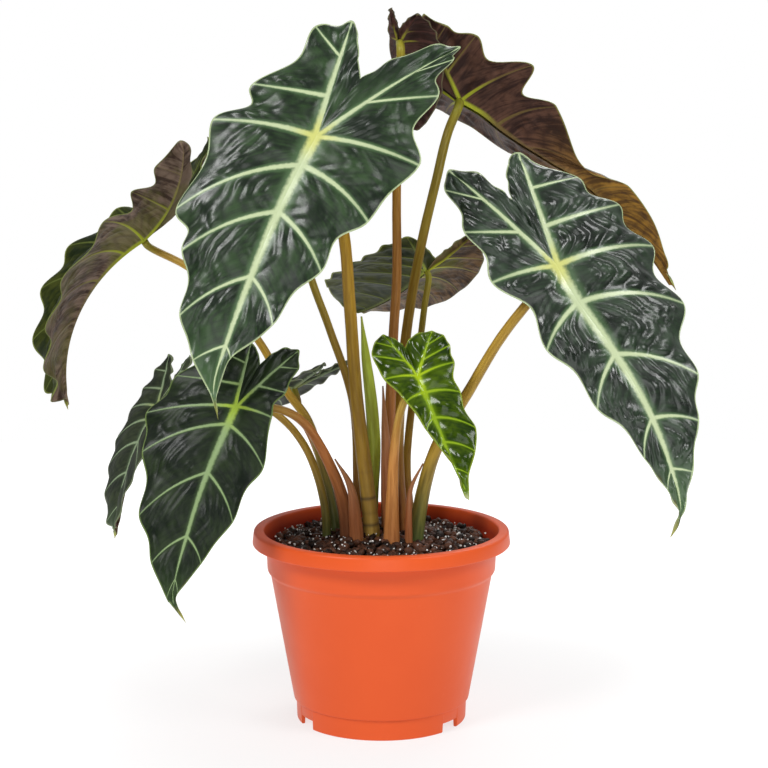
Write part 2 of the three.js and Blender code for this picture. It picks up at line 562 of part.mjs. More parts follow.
/** The blade: two faces a leaf's thickness apart, thicker along the ribs. */
function bladeGeometry(leaf) {
  const frame = bladeFrame(leaf);
  const steps = leaf.small ? ACROSS_STEPS_SMALL : ACROSS_STEPS;
  const points = [];
  const corners = [];
  for (const [mirror, list] of [[1, leaf.left], [-1, leaf.right]]) {
    const ends = list.map(([across, along]) => [mirror * across, along]);
    const own = leaf.bays && leaf.bays[mirror > 0 ? 0 : 1];
    const rows = bladeRows(leaf, frame, ends, own ?? BAYS.map((share) => share * leaf.scallop));
    const first = points.length;
    for (const row of rows) {
      for (const share of steps) {
        const flat = row.start.clone().lerp(row.end, share);
        const normal = facing(leaf, frame, flat.x, flat.y);
        const middle = bent(leaf, frame, flat.x, flat.y)
          .addScaledVector(normal, row.lift * share ** 3 + row.puff * 4 * share * (1 - share));
        const rib = share === 0 ? 1 : 0;
        const above = BLADE_THICKNESS / 2 + rib * RIB_ABOVE;
        const below = BLADE_THICKNESS / 2 + rib * RIB_BELOW;
        points.push(middle.clone().addScaledVector(normal, above));
        points.push(middle.clone().addScaledVector(normal, -below));
      }
    }
    const at = (row, column, face) => first + 2 * (row * steps.length + column) + face;
    const push = (a, b, c) => (mirror > 0 ? corners.push(a, c, b) : corners.push(a, b, c));
    for (let row = 0; row < rows.length - 1; row += 1) {
      for (let column = 0; column < steps.length - 1; column += 1) {
        push(at(row, column, 0), at(row, column + 1, 0), at(row + 1, column + 1, 0));
        push(at(row, column, 0), at(row + 1, column + 1, 0), at(row + 1, column, 0));
        push(at(row, column, 1), at(row + 1, column + 1, 1), at(row, column + 1, 1));
        push(at(row, column, 1), at(row + 1, column, 1), at(row + 1, column + 1, 1));
      }
      const edge = steps.length - 1;
      push(at(row, edge, 0), at(row, edge, 1), at(row + 1, edge, 1));
      push(at(row, edge, 0), at(row + 1, edge, 1), at(row + 1, edge, 0));
    }
  }
  return geometryFrom(points, corners);
}

/** The curve of a leaf's petiole: out of the soil, up to the blade, and square to it. */
function petioleCurve(leaf) {
  const frame = bladeFrame(leaf);
  const under = BLADE_THICKNESS / 2 + RIB_BELOW + (leaf.clearance ?? GAP);
  const junction = new THREE.Vector3(...leaf.junction);
  const end = [
    junction.clone().addScaledVector(frame.normal, -under - (leaf.neck ?? NECK)),
    junction.clone().addScaledVector(frame.normal, -under),
  ];
  return stemCurve(leaf.base, leaf.stem, end);
}

/** A petiole's radius along its length: a swollen foot that thins to the top. */
function petioleSize(leaf) {
  return (t) => {
    const radius = lerp(leaf.topRadius, leaf.baseRadius, (1 - t) ** 2.2);
    return [radius, radius];
  };
}

/** Half-width and half-thickness along a sheath or spear, from a list of widths. */
function stripSize(widths, thickness) {
  return (t) => {
    const place = t * (widths.length - 1);
    const low = Math.min(Math.floor(place), widths.length - 2);
    const width = lerp(widths[low], widths[low + 1], place - low);
    return [width, thickness ? Math.min(thickness, width) : width];
  };
}

const plant = new THREE.Group();
plant.add(named('pot', potGeometry(), TERRACOTTA));
plant.add(named('rhizome', rhizomeGeometry(0), RHIZOME_BROWN));

let soil = solidOf(soilPlug()).subtract(solidOf(rhizomeGeometry(GAP)));

/** Adds a stem to the plant and takes its plain hole out of the soil. */
function addStem(name, curve, size, options, material) {
  plant.add(named(name, tube(curve, size, options), material));
  const stop = Math.ceil((STEM_RINGS * SOCKET_DEPTH) / curve.getLength());
  const socket = tube(curve, size, { ...options, grow: GAP, sink: SOCKET_BELOW, stop });
  soil = soil.subtract(solidOf(socket));
}

for (const leaf of LEAVES) {
  const bladeMaterial = leaf.young ? YOUNG_GREEN : BLADE_GREEN;
  plant.add(named(`${leaf.name}_blade`, bladeGeometry(leaf), bladeMaterial));
  addStem(`${leaf.name}_petiole`, petioleCurve(leaf), petioleSize(leaf), {}, PETIOLE_OLIVE);
}
addStem(SPEAR.name, stemCurve(SPEAR.base, SPEAR.stem, []), stripSize(SPEAR.widths), {}, YOUNG_GREEN);
for (const sheath of SHEATHS) {
  const size = stripSize(sheath.widths, sheath.thickness);
  addStem(sheath.name, stemCurve(sheath.base, sheath.stem, []), size, { turn: sheath.turn }, SHEATH_BROWN);
}
plant.add(named('soil', geometryOf(soil.simplify(CUT_TOLERANCE)), SOIL_BROWN));

export default plant;
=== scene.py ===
"""Potted alocasia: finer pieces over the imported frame, their finishes, light and camera.

Lengths are written in millimetres and turned into metres when a mesh is made.
"""

import logging
import math
from collections.abc import Callable, Sequence
from dataclasses import dataclass, field
from enum import Enum

import bpy
import numpy as np
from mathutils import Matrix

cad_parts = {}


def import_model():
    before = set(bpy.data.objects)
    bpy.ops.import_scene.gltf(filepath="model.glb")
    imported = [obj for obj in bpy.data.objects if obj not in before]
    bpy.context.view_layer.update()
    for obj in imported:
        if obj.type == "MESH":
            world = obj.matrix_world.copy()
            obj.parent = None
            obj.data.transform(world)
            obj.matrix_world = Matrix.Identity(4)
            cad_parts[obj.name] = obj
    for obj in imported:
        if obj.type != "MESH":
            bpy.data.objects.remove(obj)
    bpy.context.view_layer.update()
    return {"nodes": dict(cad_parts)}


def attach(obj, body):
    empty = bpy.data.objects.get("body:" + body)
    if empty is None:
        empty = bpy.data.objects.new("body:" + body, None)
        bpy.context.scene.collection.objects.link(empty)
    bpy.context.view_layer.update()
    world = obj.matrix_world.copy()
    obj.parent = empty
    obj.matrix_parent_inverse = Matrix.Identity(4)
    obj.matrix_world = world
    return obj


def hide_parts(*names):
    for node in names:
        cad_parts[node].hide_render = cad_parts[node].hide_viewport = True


LOG = logging.getLogger("alocasia")
METRES = 0.001
SEED = 20240
LATTICE = 64
CURVE_STEPS = 40
CORNER_STEPS = 6
WELD_DECIMALS = 4
WHITE = (1.0, 1.0, 1.0)
Array = np.ndarray
Colour = tuple[float, float, float]


class Side(Enum):
    """The two sides of a blade, with the sign of their distance from the midrib."""

    LEFT = 1.0
    RIGHT = -1.0


def unit(vector: Sequence[float]) -> Array:
    """The vector at length one."""
    array = np.asarray(vector, float)
    return array / np.linalg.norm(array)


def rows_unit(vectors: Array) -> Array:
    """Every vector of a list at length one."""
    return vectors / np.maximum(np.linalg.norm(vectors, axis=-1, keepdims=True), 1e-9)


def smooth(low: float, high: float, value: Array) -> Array:
    """A smooth step: 0 below low, 1 above high, and 3t^2 - 2t^3 between."""
    share = np.clip((value - low) / (high - low), 0.0, 1.0)
    return share * share * (3.0 - 2.0 * share)


def scatter(index: Array) -> Array:
    """A fixed number from 0 to 1 for each number, as the part's source draws it."""
    value = np.sin(index * 12.9898 + 4.1414) * 43758.5453
    return value - np.floor(value)


def spline(points: Array, at: Array) -> Array:
    """Uniform Catmull-Rom curve through the points.

    Args:
        points: The points, one in each row.
        at: Where to read it, from 0 at the first point, one for each stretch.

    Returns:
        One point for each value of at. The cubic of a stretch passes through its two
        ends with the slope of the chord between their neighbours, halved.
    """
    last = len(points) - 1
    stretch = np.clip(np.floor(at).astype(int), 0, last - 1)
    t = (at - stretch)[:, None]
    before = points[np.maximum(stretch - 1, 0)]
    start = points[stretch]
    end = points[stretch + 1]
    after = points[np.minimum(stretch + 2, last)]
    slope_in = 0.5 * (end - before)
    slope_out = 0.5 * (after - start)
    cube = 2.0 * start - 2.0 * end + slope_in + slope_out
    square = -3.0 * start + 3.0 * end - 2.0 * slope_in - slope_out
    return ((cube * t + square) * t + slope_in) * t + start


def distances(line: Array) -> Array:
    """How far along a line each of its points lies."""
    return np.concatenate([[0.0], np.cumsum(np.linalg.norm(np.diff(line, axis=0), axis=1))])


def stem_line(route: Sequence[Sequence[float]], count: int) -> Array:
    """Centripetal Catmull-Rom curve, read at equal steps along its length.

    Args:
        route: The points that it passes through.
        count: How many steps to read.

    Returns:
        count + 1 points. Each stretch is a cubic whose knots lie apart by the square
        root of the distance between its points.
    """
    points = np.asarray(route, float)
    points = np.vstack([2 * points[0] - points[1], points, 2 * points[-1] - points[-2]])
    steps = np.linspace(0.0, 1.0, CURVE_STEPS)[:, None]
    pieces = []
    for p0, p1, p2, p3 in zip(points, points[1:], points[2:], points[3:]):
        pairs = ((p0, p1), (p1, p2), (p2, p3))
        d0, d1, d2 = (math.sqrt(max(np.linalg.norm(b - a), 1e-6)) for a, b in pairs)
        m1 = d1 * ((p1 - p0) / d0 - (p2 - p0) / (d0 + d1) + (p2 - p1) / d1)
        m2 = d1 * ((p2 - p1) / d1 - (p3 - p1) / (d1 + d2) + (p3 - p2) / d2)
        cube = 2 * p1 - 2 * p2 + m1 + m2
        square = -3 * p1 + 3 * p2 - 2 * m1 - m2
        pieces.append(((cube * steps + square) * steps + m1) * steps + p1)
    line = np.vstack(pieces)
    travelled = distances(line)
    wanted = np.linspace(0.0, travelled[-1], count + 1)
    return np.stack([np.interp(wanted, travelled, line[:, axis]) for axis in range(3)], axis=1)


def value_noise(x: Array, y: Array, cell: float, seed: int) -> Array:
    """Smooth noise from -1 to 1: random values on a square lattice, blended between.

    Args:
        x: First coordinate.
        y: Second coordinate.
        cell: Size of a lattice square.
        seed: Which random values to draw.

    Returns:
        One value for each place.
    """
    lattice = np.random.default_rng(seed).uniform(-1.0, 1.0, (LATTICE, LATTICE))
    u, v = x / cell, y / cell
    column, row = np.floor(u).astype(int), np.floor(v).astype(int)
    s, t = smooth(0, 1, u - column), smooth(0, 1, v - row)

    def corner(right: int, up: int) -> Array:
        """The random value at one corner of each place's square."""
        return lattice[(row + up) % LATTICE, (column + right) % LATTICE]

    low = corner(0, 0) * (1 - s) + corner(1, 0) * s
    high = corner(0, 1) * (1 - s) + corner(1, 1) * s
    return low * (1 - t) + high * t


def grid_quads(rows: int, columns: int, closed: bool = False) -> Array:
    """Corner numbers of the quads of a grid whose points are stored row by row.

    Args:
        rows: Number of rows of points.
        columns: Number of points in a row.
        closed: Whether each row is a ring.

    Returns:
        An array of four corner numbers for each quad.
    """
    row = np.arange(rows - 1)[:, None]
    column = np.arange(columns if closed else columns - 1)[None, :]
    beside = (column + 1) % columns
    corners = [
        row * columns + column,
        row * columns + beside,
        (row + 1) * columns + beside,
        (row + 1) * columns + column,
    ]
    return np.stack(corners, axis=-1).reshape(-1, 4)


def fan(centre: int, ring: Array) -> Array:
    """Triangles from one point to a ring, as quads with a repeated corner."""
    beside = np.roll(ring, -1)
    return np.stack([np.full_like(ring, centre), ring, beside, beside], axis=1)


def capped(rings: int, sides: int, flipped: bool = False) -> Array:
    """Quads of a closed tube of rings whose two end points follow its own points.

    Args:
        rings: Number of rings.
        sides: Number of points in a ring.
        flipped: Whether the faces wind the other way, for rings from top to bottom.

    Returns:
        The quads of the tube, of the fan at its first ring and of the fan at its last.
    """
    count = rings * sides
    tube = grid_quads(rings, sides, closed=True)
    first = np.arange(sides)
    last = first + count - sides
    if flipped:
        tube, first, last = tube[:, ::-1], first[::-1], last[::-1]
    return np.vstack([tube, fan(count, first[::-1]), fan(count + 1, last)])


def circle(radius: float, height: float, angle: Array, middle: Sequence[float] = (0, 0)) -> Array:
    """Points of a level ring round a middle."""
    x, y = middle
    level = np.full(len(angle), height)
    return np.stack([x + radius * np.cos(angle), y + radius * np.sin(angle), level], axis=1)


@dataclass
class Sheet:
    """Points, faces and point values of a piece, gathered before its mesh is made."""

    points: Array
    quads: Array
    slots: Array | None = None
    values: dict[str, Array] = field(default_factory=dict)

    def welded(self) -> "Sheet":
        """Joins points that coincide and drops faces without an area.

        Returns:
            The same piece, as one skin.
        """
        _, first, place = np.unique(
            np.round(self.points, WELD_DECIMALS), axis=0, return_index=True, return_inverse=True
        )
        quads = place.reshape(-1)[self.quads]
        slots = np.zeros(len(quads), int) if self.slots is None else self.slots
        corners = np.sort(quads, axis=1)
        different = 1 + (np.diff(corners, axis=1) > 0).sum(axis=1)
        crossed = (quads[:, 0] == quads[:, 2]) | (quads[:, 1] == quads[:, 3])
        kept = (different >= 3) & ~crossed
        values = {name: value[first] for name, value in self.values.items()}
        return Sheet(self.points[first], quads[kept], slots[kept], values)

    def piece(self, name: str, materials: Sequence[bpy.types.Material]) -> bpy.types.Object:
        """Makes the Blender object.

        Args:
            name: The object's name.
            materials: Its materials, in the order of the slot numbers.

        Returns:
            The object, at the origin, in metres.
        """
        sheet = self.welded()
        mesh = bpy.data.meshes.new(name)
        quads = sheet.quads
        repeat = np.stack([quads[:, k] == quads[:, k - 1] for k in range(4)], axis=1)
        keep = ~repeat
        totals = keep.sum(axis=1)
        mesh.vertices.add(len(sheet.points))
        mesh.vertices.foreach_set("co", (sheet.points * METRES).astype(np.float32).ravel())
        mesh.loops.add(int(totals.sum()))
        mesh.loops.foreach_set("vertex_index", quads[keep].astype(np.int32))
        mesh.polygons.add(len(quads))
        starts = np.concatenate([[0], np.cumsum(totals)[:-1]]).astype(np.int32)
        mesh.polygons.foreach_set("loop_start", starts)
        mesh.polygons.foreach_set("material_index", sheet.slots.astype(np.int32))
        mesh.polygons.foreach_set("use_smooth", np.ones(len(quads), bool))
        for label, value in sheet.values.items():
            wide = value.ndim == 2
            kind = "FLOAT_VECTOR" if wide else "FLOAT"
            layer = mesh.attributes.new(label, kind, "POINT")
            layer.data.foreach_set("vector" if wide else "value", value.astype(np.float32).ravel())
        for material in materials:
            mesh.materials.append(material)
        mesh.update(calc_edges=True)
        mesh.validate()
        made = bpy.data.objects.new(name, mesh)
        bpy.context.scene.collection.objects.link(made)
        return made


def joined(parts: Sequence[Sheet]) -> Sheet:
    """Several sheets as one, with their points numbered on.

    Args:
        parts: The sheets, all with the same point values.

    Returns:
        The whole.
    """
    offset = np.cumsum([0] + [len(part.points) for part in parts[:-1]])
    quads = np.vstack([part.quads + start for part, start in zip(parts, offset)])
    slots = np.concatenate(
        [np.zeros(len(part.quads), int) if part.slots is None else part.slots for part in parts]
    )
    names = parts[0].values.keys()
    values = {name: np.concatenate([part.values[name] for part in parts]) for name in names}
    return Sheet(np.vstack([part.points for part in parts]), quads, slots, values)


# Finishes


class Recipe:
    """The node tree of a material or world, whose nodes are added by short calls."""

    def __init__(self, owner: bpy.types.Material | bpy.types.World) -> None:
        """Starts with an empty tree."""
        owner.use_nodes = True
        self.owner = owner
        self.tree = owner.node_tree
        self.tree.nodes.clear()

    @classmethod
    def named(cls, name: str) -> "Recipe":
        """The recipe of a new material."""
        return cls(bpy.data.materials.new(name))

    def node(self, kind: str, inputs: dict | None = None, **settings: object) -> bpy.types.Node:
        """Adds a node.

        Args:
            kind: The node's type, without its "ShaderNode" start.
            inputs: What each input socket holds, by name or number: a plain value, or
                the output socket to link from.
            **settings: The node's own properties.

        Returns:
            The node.
        """
        made = self.tree.nodes.new("ShaderNode" + kind)
        for key, value in settings.items():
            setattr(made, key, value)
        for key, value in (inputs or {}).items():
            socket = made.inputs[key]
            if isinstance(value, bpy.types.NodeSocket):
                self.tree.links.new(value, socket)
            elif isinstance(value, tuple) and len(value) == 3 and socket.type == "RGBA":
                socket.default_value = (*value, 1.0)
            else:
                socket.default_value = value
        return made

    def number(self, name: str) -> object:
        """A point value of the piece that is a number."""
        return self.node("Attribute", attribute_name=name).outputs["Fac"]

    def vector(self, name: str) -> object:
        """A point value of the piece that is a vector."""
        return self.node("Attribute", attribute_name=name).outputs["Vector"]

    def place(self) -> object:
        """The place in the object's own coordinates."""
        return self.node("TexCoord").outputs["Object"]

    def ramp(self, value: object, low: float, high: float, start: float, end: float) -> object:
        """A smooth change from start at low to end at high."""
        inputs = {"Value": value, "From Min": low, "From Max": high, "To Min": start, "To Max": end}
        return self.node("MapRange", inputs, interpolation_type="SMOOTHSTEP").outputs["Result"]

    def plus(self, first: object, second: object) -> object:
        """The sum of two values."""
        return self.node("Math", {0: first, 1: second}, operation="ADD").outputs[0]

    def times(self, first: object, second: object) -> object:
        """The product of two values."""
        return self.node("Math", {0: first, 1: second}, operation="MULTIPLY").outputs[0]

    def mix(self, share: object, first: object, second: object) -> object:
        """A blend of two colours."""
        made = self.node("Mix", {0: share, 6: first, 7: second}, data_type="RGBA")
        return made.outputs[2]

    def tint(self, under: object, over: object, value: object, *limits: float) -> object:
        """One colour over another, with a share that follows a value.

        Args:
            under: The colour below.
            over: The colour above.
            value: What the share follows.
            *limits: The value's low and high end, and the share at each.

        Returns:
            The blend.
        """
        return self.mix(self.ramp(value, *limits), under, over)

    def noise(self, place: object, scale: float, detail: float = 3.0, roughness: float = 0.55) -> object:
        """Noise from 0 to 1 on a vector."""
        inputs = {"Vector": place, "Scale": scale, "Detail": detail, "Roughness": roughness}
        return self.node("TexNoise", inputs).outputs["Fac"]

    def bump(self, height: object, strength: float, distance: float) -> object:
        """A normal from a height."""
        inputs = {"Height": height, "Strength": strength, "Distance": distance}
        return self.node("Bump", inputs).outputs["Normal"]

    def finish(
        self, colour: object, rough: object, specular: float, normal: object = None, **more: object,
    ) -> bpy.types.Material:
        """Adds the surface shader and the output.

        Args:
            colour: The surface's colour.
            rough: Its roughness.
            specular: Its specular level.
            normal: Its relief, where it has one.
            **more: Its emission strength and colour, where it glows.

        Returns:
            The material.
        """
        inputs = {"Base Color": colour, "Roughness": rough, "Specular IOR Level": specular}
        if normal is not None:
            inputs["Normal"] = normal
        inputs.update({key.replace("_", " ").title(): value for key, value in more.items()})
        surface = self.node("BsdfPrincipled", inputs)
        self.node("OutputMaterial", {"Surface": surface.outputs["BSDF"]})
        return self.owner


@dataclass(frozen=True)
class UpperFace:
    """The upper face of a blade: dark green with pale veins and a pale margin."""

    name: str
    dark: Colour = (0.0050, 0.0130, 0.0050)
    light: Colour = (0.024, 0.060, 0.015)
    halo: Colour = (0.085, 0.165, 0.065)
    vein: Colour = (0.53, 0.62, 0.36)
    hub: Colour = (0.60, 0.62, 0.18)
    margin: Colour = (0.46, 0.56, 0.30)
    tail: Colour = (0.42, 0.42, 0.10)
    gloss: float = 0.33
    specular: float = 0.5
    relief: float = 0.15
    slim: float = 1.0

    def material(self) -> bpy.types.Material:
        """Builds the shader from the blade's point values."""
        r = Recipe.named(self.name)
        vein = r.times(r.number("vein"), 1.0 / self.slim)
        reach = r.number("reach")
        place = r.vector("drawing")
        cloudy = r.noise(place, 0.05, 4.0)
        ragged = r.plus(r.noise(place, 0.4, 3.0), -0.5)
        streaks = r.noise(r.vector("flow"), 1.0, 4.0, 0.6)
        tone = r.plus(r.times(cloudy, 0.6), r.times(streaks, 0.4))
        ground = r.tint(self.dark, self.light, tone, 0.38, 0.62, 0.0, 1.0)
        # Painted shade: the ground darkens towards the dark green in the creases between the pillows.
        ground = r.mix(r.times(r.number("crease_shade"), 0.8), ground, self.dark)
        ground = r.tint(ground, self.halo, vein, 0.9, 2.6, 0.75, 0.0)
        ground = r.tint(ground, self.halo, reach, 0.70, 0.97, 0.0, 0.8)
        pale = r.tint(self.vein, self.hub, r.number("hub"), 2.0, 20.0, 1.0, 0.0)
        core = r.ramp(r.plus(vein, r.times(ragged, 0.7)), 0.40, 1.3, 1.0, 0.0)
        line = r.times(core, r.ramp(r.number("outward"), 0.4, 0.98, 1.0, 0.65))
        colour = r.mix(line, ground, pale)
        edge = r.plus(r.number("rim"), r.times(ragged, 0.5))
        colour = r.tint(colour, self.margin, edge, 0.45, 1.35, 0.85, 0.0)
        colour = r.tint(colour, self.tail, reach, 0.93, 0.985, 0.0, 0.85)
        rough = r.ramp(cloudy, 0.3, 0.72, self.gloss - 0.04, self.gloss + 0.1)
        grain = r.plus(r.noise(place, 0.5, 4.0, 0.6), r.times(line, 0.3))
        return r.finish(colour, rough, self.specular, r.bump(grain, self.relief, 0.0005))


@dataclass(frozen=True)
class UnderFace:
    """The underside of a blade: maroon with yellow-green ribs, at times ochre at the tip."""

    name: str
    ground: Colour = (0.030, 0.013, 0.010)
    streak: Colour = (0.115, 0.055, 0.036)
    rib: Colour = (0.17, 0.12, 0.035)
    hub: Colour = (0.42, 0.46, 0.030)
    hub_reach: float = 34.0
    rim: Colour = (0.20, 0.19, 0.09)
    moss: Colour = (0.12, 0.12, 0.018)
    moss_share: float = 0.0
    ochre: Colour = (0.36, 0.19, 0.028)
    ochre_share: float = 0.0

    def material(self) -> bpy.types.Material:
        """Builds the shader from the blade's point values."""
        r = Recipe.named(self.name)
        hub = r.number("hub")
        place = r.vector("drawing")
        cloudy = r.noise(place, 0.09, 5.0, 0.6)
        streaks = r.noise(r.vector("flow"), 0.8, 4.0, 0.6)
        tone = r.plus(r.times(cloudy, 0.35), r.times(streaks, 0.65))
        share = r.ramp(tone, 0.40, 0.60, 0.0, 1.0)
        ground = r.mix(share, self.ground, self.streak)
        patches = r.plus(r.noise(place, 0.035, 3.0), r.ramp(hub, 4.0, 40.0, 0.25, 0.0))
        mossy = r.times(r.ramp(patches, 0.48, 0.66, 0.0, 1.0), self.moss_share)
        ground = r.mix(mossy, ground, self.moss)
        aged = r.times(r.ramp(r.number("reach"), 0.22, 0.62, 0.0, 1.0), self.ochre_share)
        worn = r.mix(share, r.mix(0.72, self.ochre, self.ground), self.ochre)
        ground = r.mix(aged, ground, worn)
        # Painted shade: the underside darkens to its ground colour in the creases between the pillows.
        ground = r.mix(r.times(r.number("crease_shade"), 0.6), ground, self.ground)
        rib = r.tint(self.rib, self.hub, hub, 6.0, self.hub_reach, 1.0, 0.0)
        strength = r.ramp(hub, 6.0, 80.0, 1.0, 0.35)
        line = r.times(r.ramp(r.number("vein"), 0.35, 0.8, 1.0, 0.0), strength)
        colour = r.tint(r.mix(line, ground, rib), self.rim, r.number("rim"), 0.4, 1.3, 0.7, 0.0)
        relief = r.plus(r.noise(place, 0.4, 4.0, 0.6), r.times(streaks, 2.0))
        return r.finish(colour, 0.5, 0.16, r.bump(relief, 0.5, 0.0006))


@dataclass(frozen=True)
class StemSkin:
    """The skin of a petiole: streaked along its length, redder at the foot."""

    name: str
    foot: Colour
    middle: Colour
    top: Colour
    neck: Colour = (0.33, 0.33, 0.035)
    turn: float = 0.34
    rings: float = 0.0
    shade: Colour = (0.72, 0.66, 0.55)
    scar: Colour = (0.085, 0.06, 0.03)

    def material(self) -> bpy.types.Material:
        """Builds the shader from the stem's point values."""
        r = Recipe.named(self.name)
        rise = r.number("rise")
        grain = r.vector("grain")
        streaks = r.noise(grain, 1.1, 4.0)
        shifted = r.plus(rise, r.times(r.plus(streaks, -0.5), 0.16))
        colour = r.tint(self.foot, self.middle, shifted, 0.04, self.turn, 0.0, 1.0)
        colour = r.tint(colour, self.top, shifted, self.turn, 0.92, 0.0, 1.0)
        colour = r.tint(colour, self.neck, rise, 0.93, 0.995, 0.0, 0.85)
        inputs = {"Fac": 1.0, "Color1": colour, "Color2": self.shade}
        darker = r.node("MixRGB", inputs, blend_type="MULTIPLY").outputs[0]
        colour = r.tint(darker, colour, streaks, 0.40, 0.60, 0.25, 1.0)
        colour = r.mix(r.times(r.number("scar"), self.rings), colour, self.scar)
        return r.finish(colour, 0.4, 0.24, r.bump(r.noise(grain, 2.2, 3.0), 0.2, 0.0005))


@dataclass(frozen=True)
class PotPlastic:
    """Satin orange-terracotta moulded plastic, darker inside."""

    name: str = "pot_plastic"
    colour: Colour = (0.76, 0.098, 0.016)
    deep: Colour = (0.66, 0.074, 0.014)
    # Painted shade on the inside of the pot.
    inner_shade: Colour = (0.40, 0.036, 0.011)
    scuff: Colour = (0.85, 0.36, 0.2)

    def material(self) -> bpy.types.Material:
        """Builds the shader on the pot's own coordinates."""
        r = Recipe.named(self.name)
        place = r.place()
        cloudy = r.noise(place, 22.0, 4.0)
        colour = r.tint(self.colour, self.deep, cloudy, 0.3, 0.75, 0.0, 0.22)
        # Painted shade: the inside of the pot darkens from just below the rim down.
        colour = r.mix(r.number("inside"), colour, self.inner_shade)
        scuffs = r.noise(place, 160.0, 5.0, 0.7)
        colour = r.tint(colour, self.scuff, scuffs, 0.66, 0.76, 0.0, 0.10)
        rough = r.ramp(cloudy, 0.3, 0.75, 0.36, 0.48)
        return r.finish(colour, rough, 0.3, r.bump(r.noise(place, 900.0, 2.0), 0.05, 0.0003))


@dataclass(frozen=True)
class CrumbFinish:
    """Crumbs of one kind, each with a shade of its own between two colours."""

    name: str
    dark: Colour
    light: Colour
    rough: float = 0.85

    def material(self) -> bpy.types.Material:
        """Builds the shader from each crumb's own tone."""
        r = Recipe.named(self.name)
        place = r.place()
        mottled = r.plus(r.number("tone"), r.plus(r.noise(place, 700.0, 4.0), -0.5))
        colour = r.mix(mottled, self.dark, self.light)
        return r.finish(colour, self.rough, 0.2, r.bump(r.noise(place, 1500.0, 3.0), 0.5, 0.0004))


UPPER_FACES = (
    UpperFace("blade_upper"),
    UpperFace(
        "blade_moss", dark=(0.008, 0.016, 0.002), light=(0.050, 0.060, 0.006),
        halo=(0.045, 0.058, 0.008), vein=(0.12, 0.15, 0.03), hub=(0.30, 0.36, 0.03),
        margin=(0.22, 0.26, 0.06), gloss=0.5, specular=0.14, slim=0.7,
    ),
    UpperFace(
        "shaded_upper", dark=(0.0035, 0.0080, 0.0036), light=(0.016, 0.030, 0.008),
        halo=(0.034, 0.064, 0.020), vein=(0.24, 0.34, 0.15), hub=(0.34, 0.48, 0.05),
        margin=(0.15, 0.22, 0.06), gloss=0.38, specular=0.24, slim=0.72,
    ),
    UpperFace(
        "old_upper", dark=(0.012, 0.018, 0.010), light=(0.042, 0.055, 0.026),
        halo=(0.06, 0.09, 0.045), vein=(0.26, 0.34, 0.20), hub=(0.30, 0.36, 0.14),
        margin=(0.20, 0.24, 0.13), gloss=0.5, specular=0.2, slim=0.8,
    ),
    UpperFace(
        "glossy_upper", dark=(0.0045, 0.0095, 0.0050), light=(0.019, 0.044, 0.017),
        gloss=0.30, specular=0.7,
    ),
    UpperFace(
        "crown_upper", vein=(0.20, 0.24, 0.12), hub=(0.26, 0.28, 0.10),
        margin=(0.085, 0.050, 0.030), gloss=0.4, specular=0.3,
    ),
    UpperFace(
        "young_upper", dark=(0.012, 0.032, 0.001), light=(0.068, 0.122, 0.002),
        halo=(0.10, 0.185, 0.004), vein=(0.25, 0.38, 0.015), hub=(0.36, 0.50, 0.012),
        margin=(0.26, 0.34, 0.03), tail=(0.48, 0.52, 0.25), gloss=0.15, specular=0.3, slim=0.8,
    ),
)
UNDER_FACES = (
    UnderFace("blade_under"),
    UnderFace("blade_under_ochre", ochre_share=0.95, rim=(0.32, 0.30, 0.07)),
    UnderFace(
        "blade_under_mauve", ground=(0.060, 0.036, 0.027), streak=(0.24, 0.17, 0.125),
        rib=(0.24, 0.20, 0.06), hub=(0.40, 0.46, 0.03), hub_reach=60.0, moss_share=0.5,
        moss=(0.16, 0.17, 0.030),
    ),
    UnderFace(
        "blade_under_back", ground=(0.030, 0.016, 0.008), streak=(0.15, 0.085, 0.035),
        rib=(0.22, 0.20, 0.03), moss=(0.10, 0.10, 0.012), moss_share=0.8,
    ),
    UnderFace(
        "blade_under_crown", streak=(0.085, 0.036, 0.028), rib=(0.07, 0.028, 0.022),
        hub=(0.26, 0.24, 0.03), hub_reach=14.0,
    ),
    UnderFace(
        "young_under", ground=(0.06, 0.13, 0.02), streak=(0.11, 0.20, 0.035),
        rib=(0.30, 0.42, 0.07),
    ),
)
MOSS = "blade_moss"


class Look(Enum):
    """How a leaf looks: the names of its upper finish and of its underside's."""

    PLAIN = ("blade_upper", "blade_under")
    GLOSSY = ("glossy_upper", "blade_under")
    SHADED = ("shaded_upper", "blade_under")
    OCHRE = ("blade_upper", "blade_under_ochre")
    MAUVE = (MOSS, "blade_under_mauve")
    BACK = (MOSS, "blade_under_back")
    OLD = ("old_upper", "blade_under")
    GREEN = ("old_upper", "old_upper")
    YOUNG = ("young_upper", "young_under")
    CROWN = ("crown_upper", "blade_under_crown")


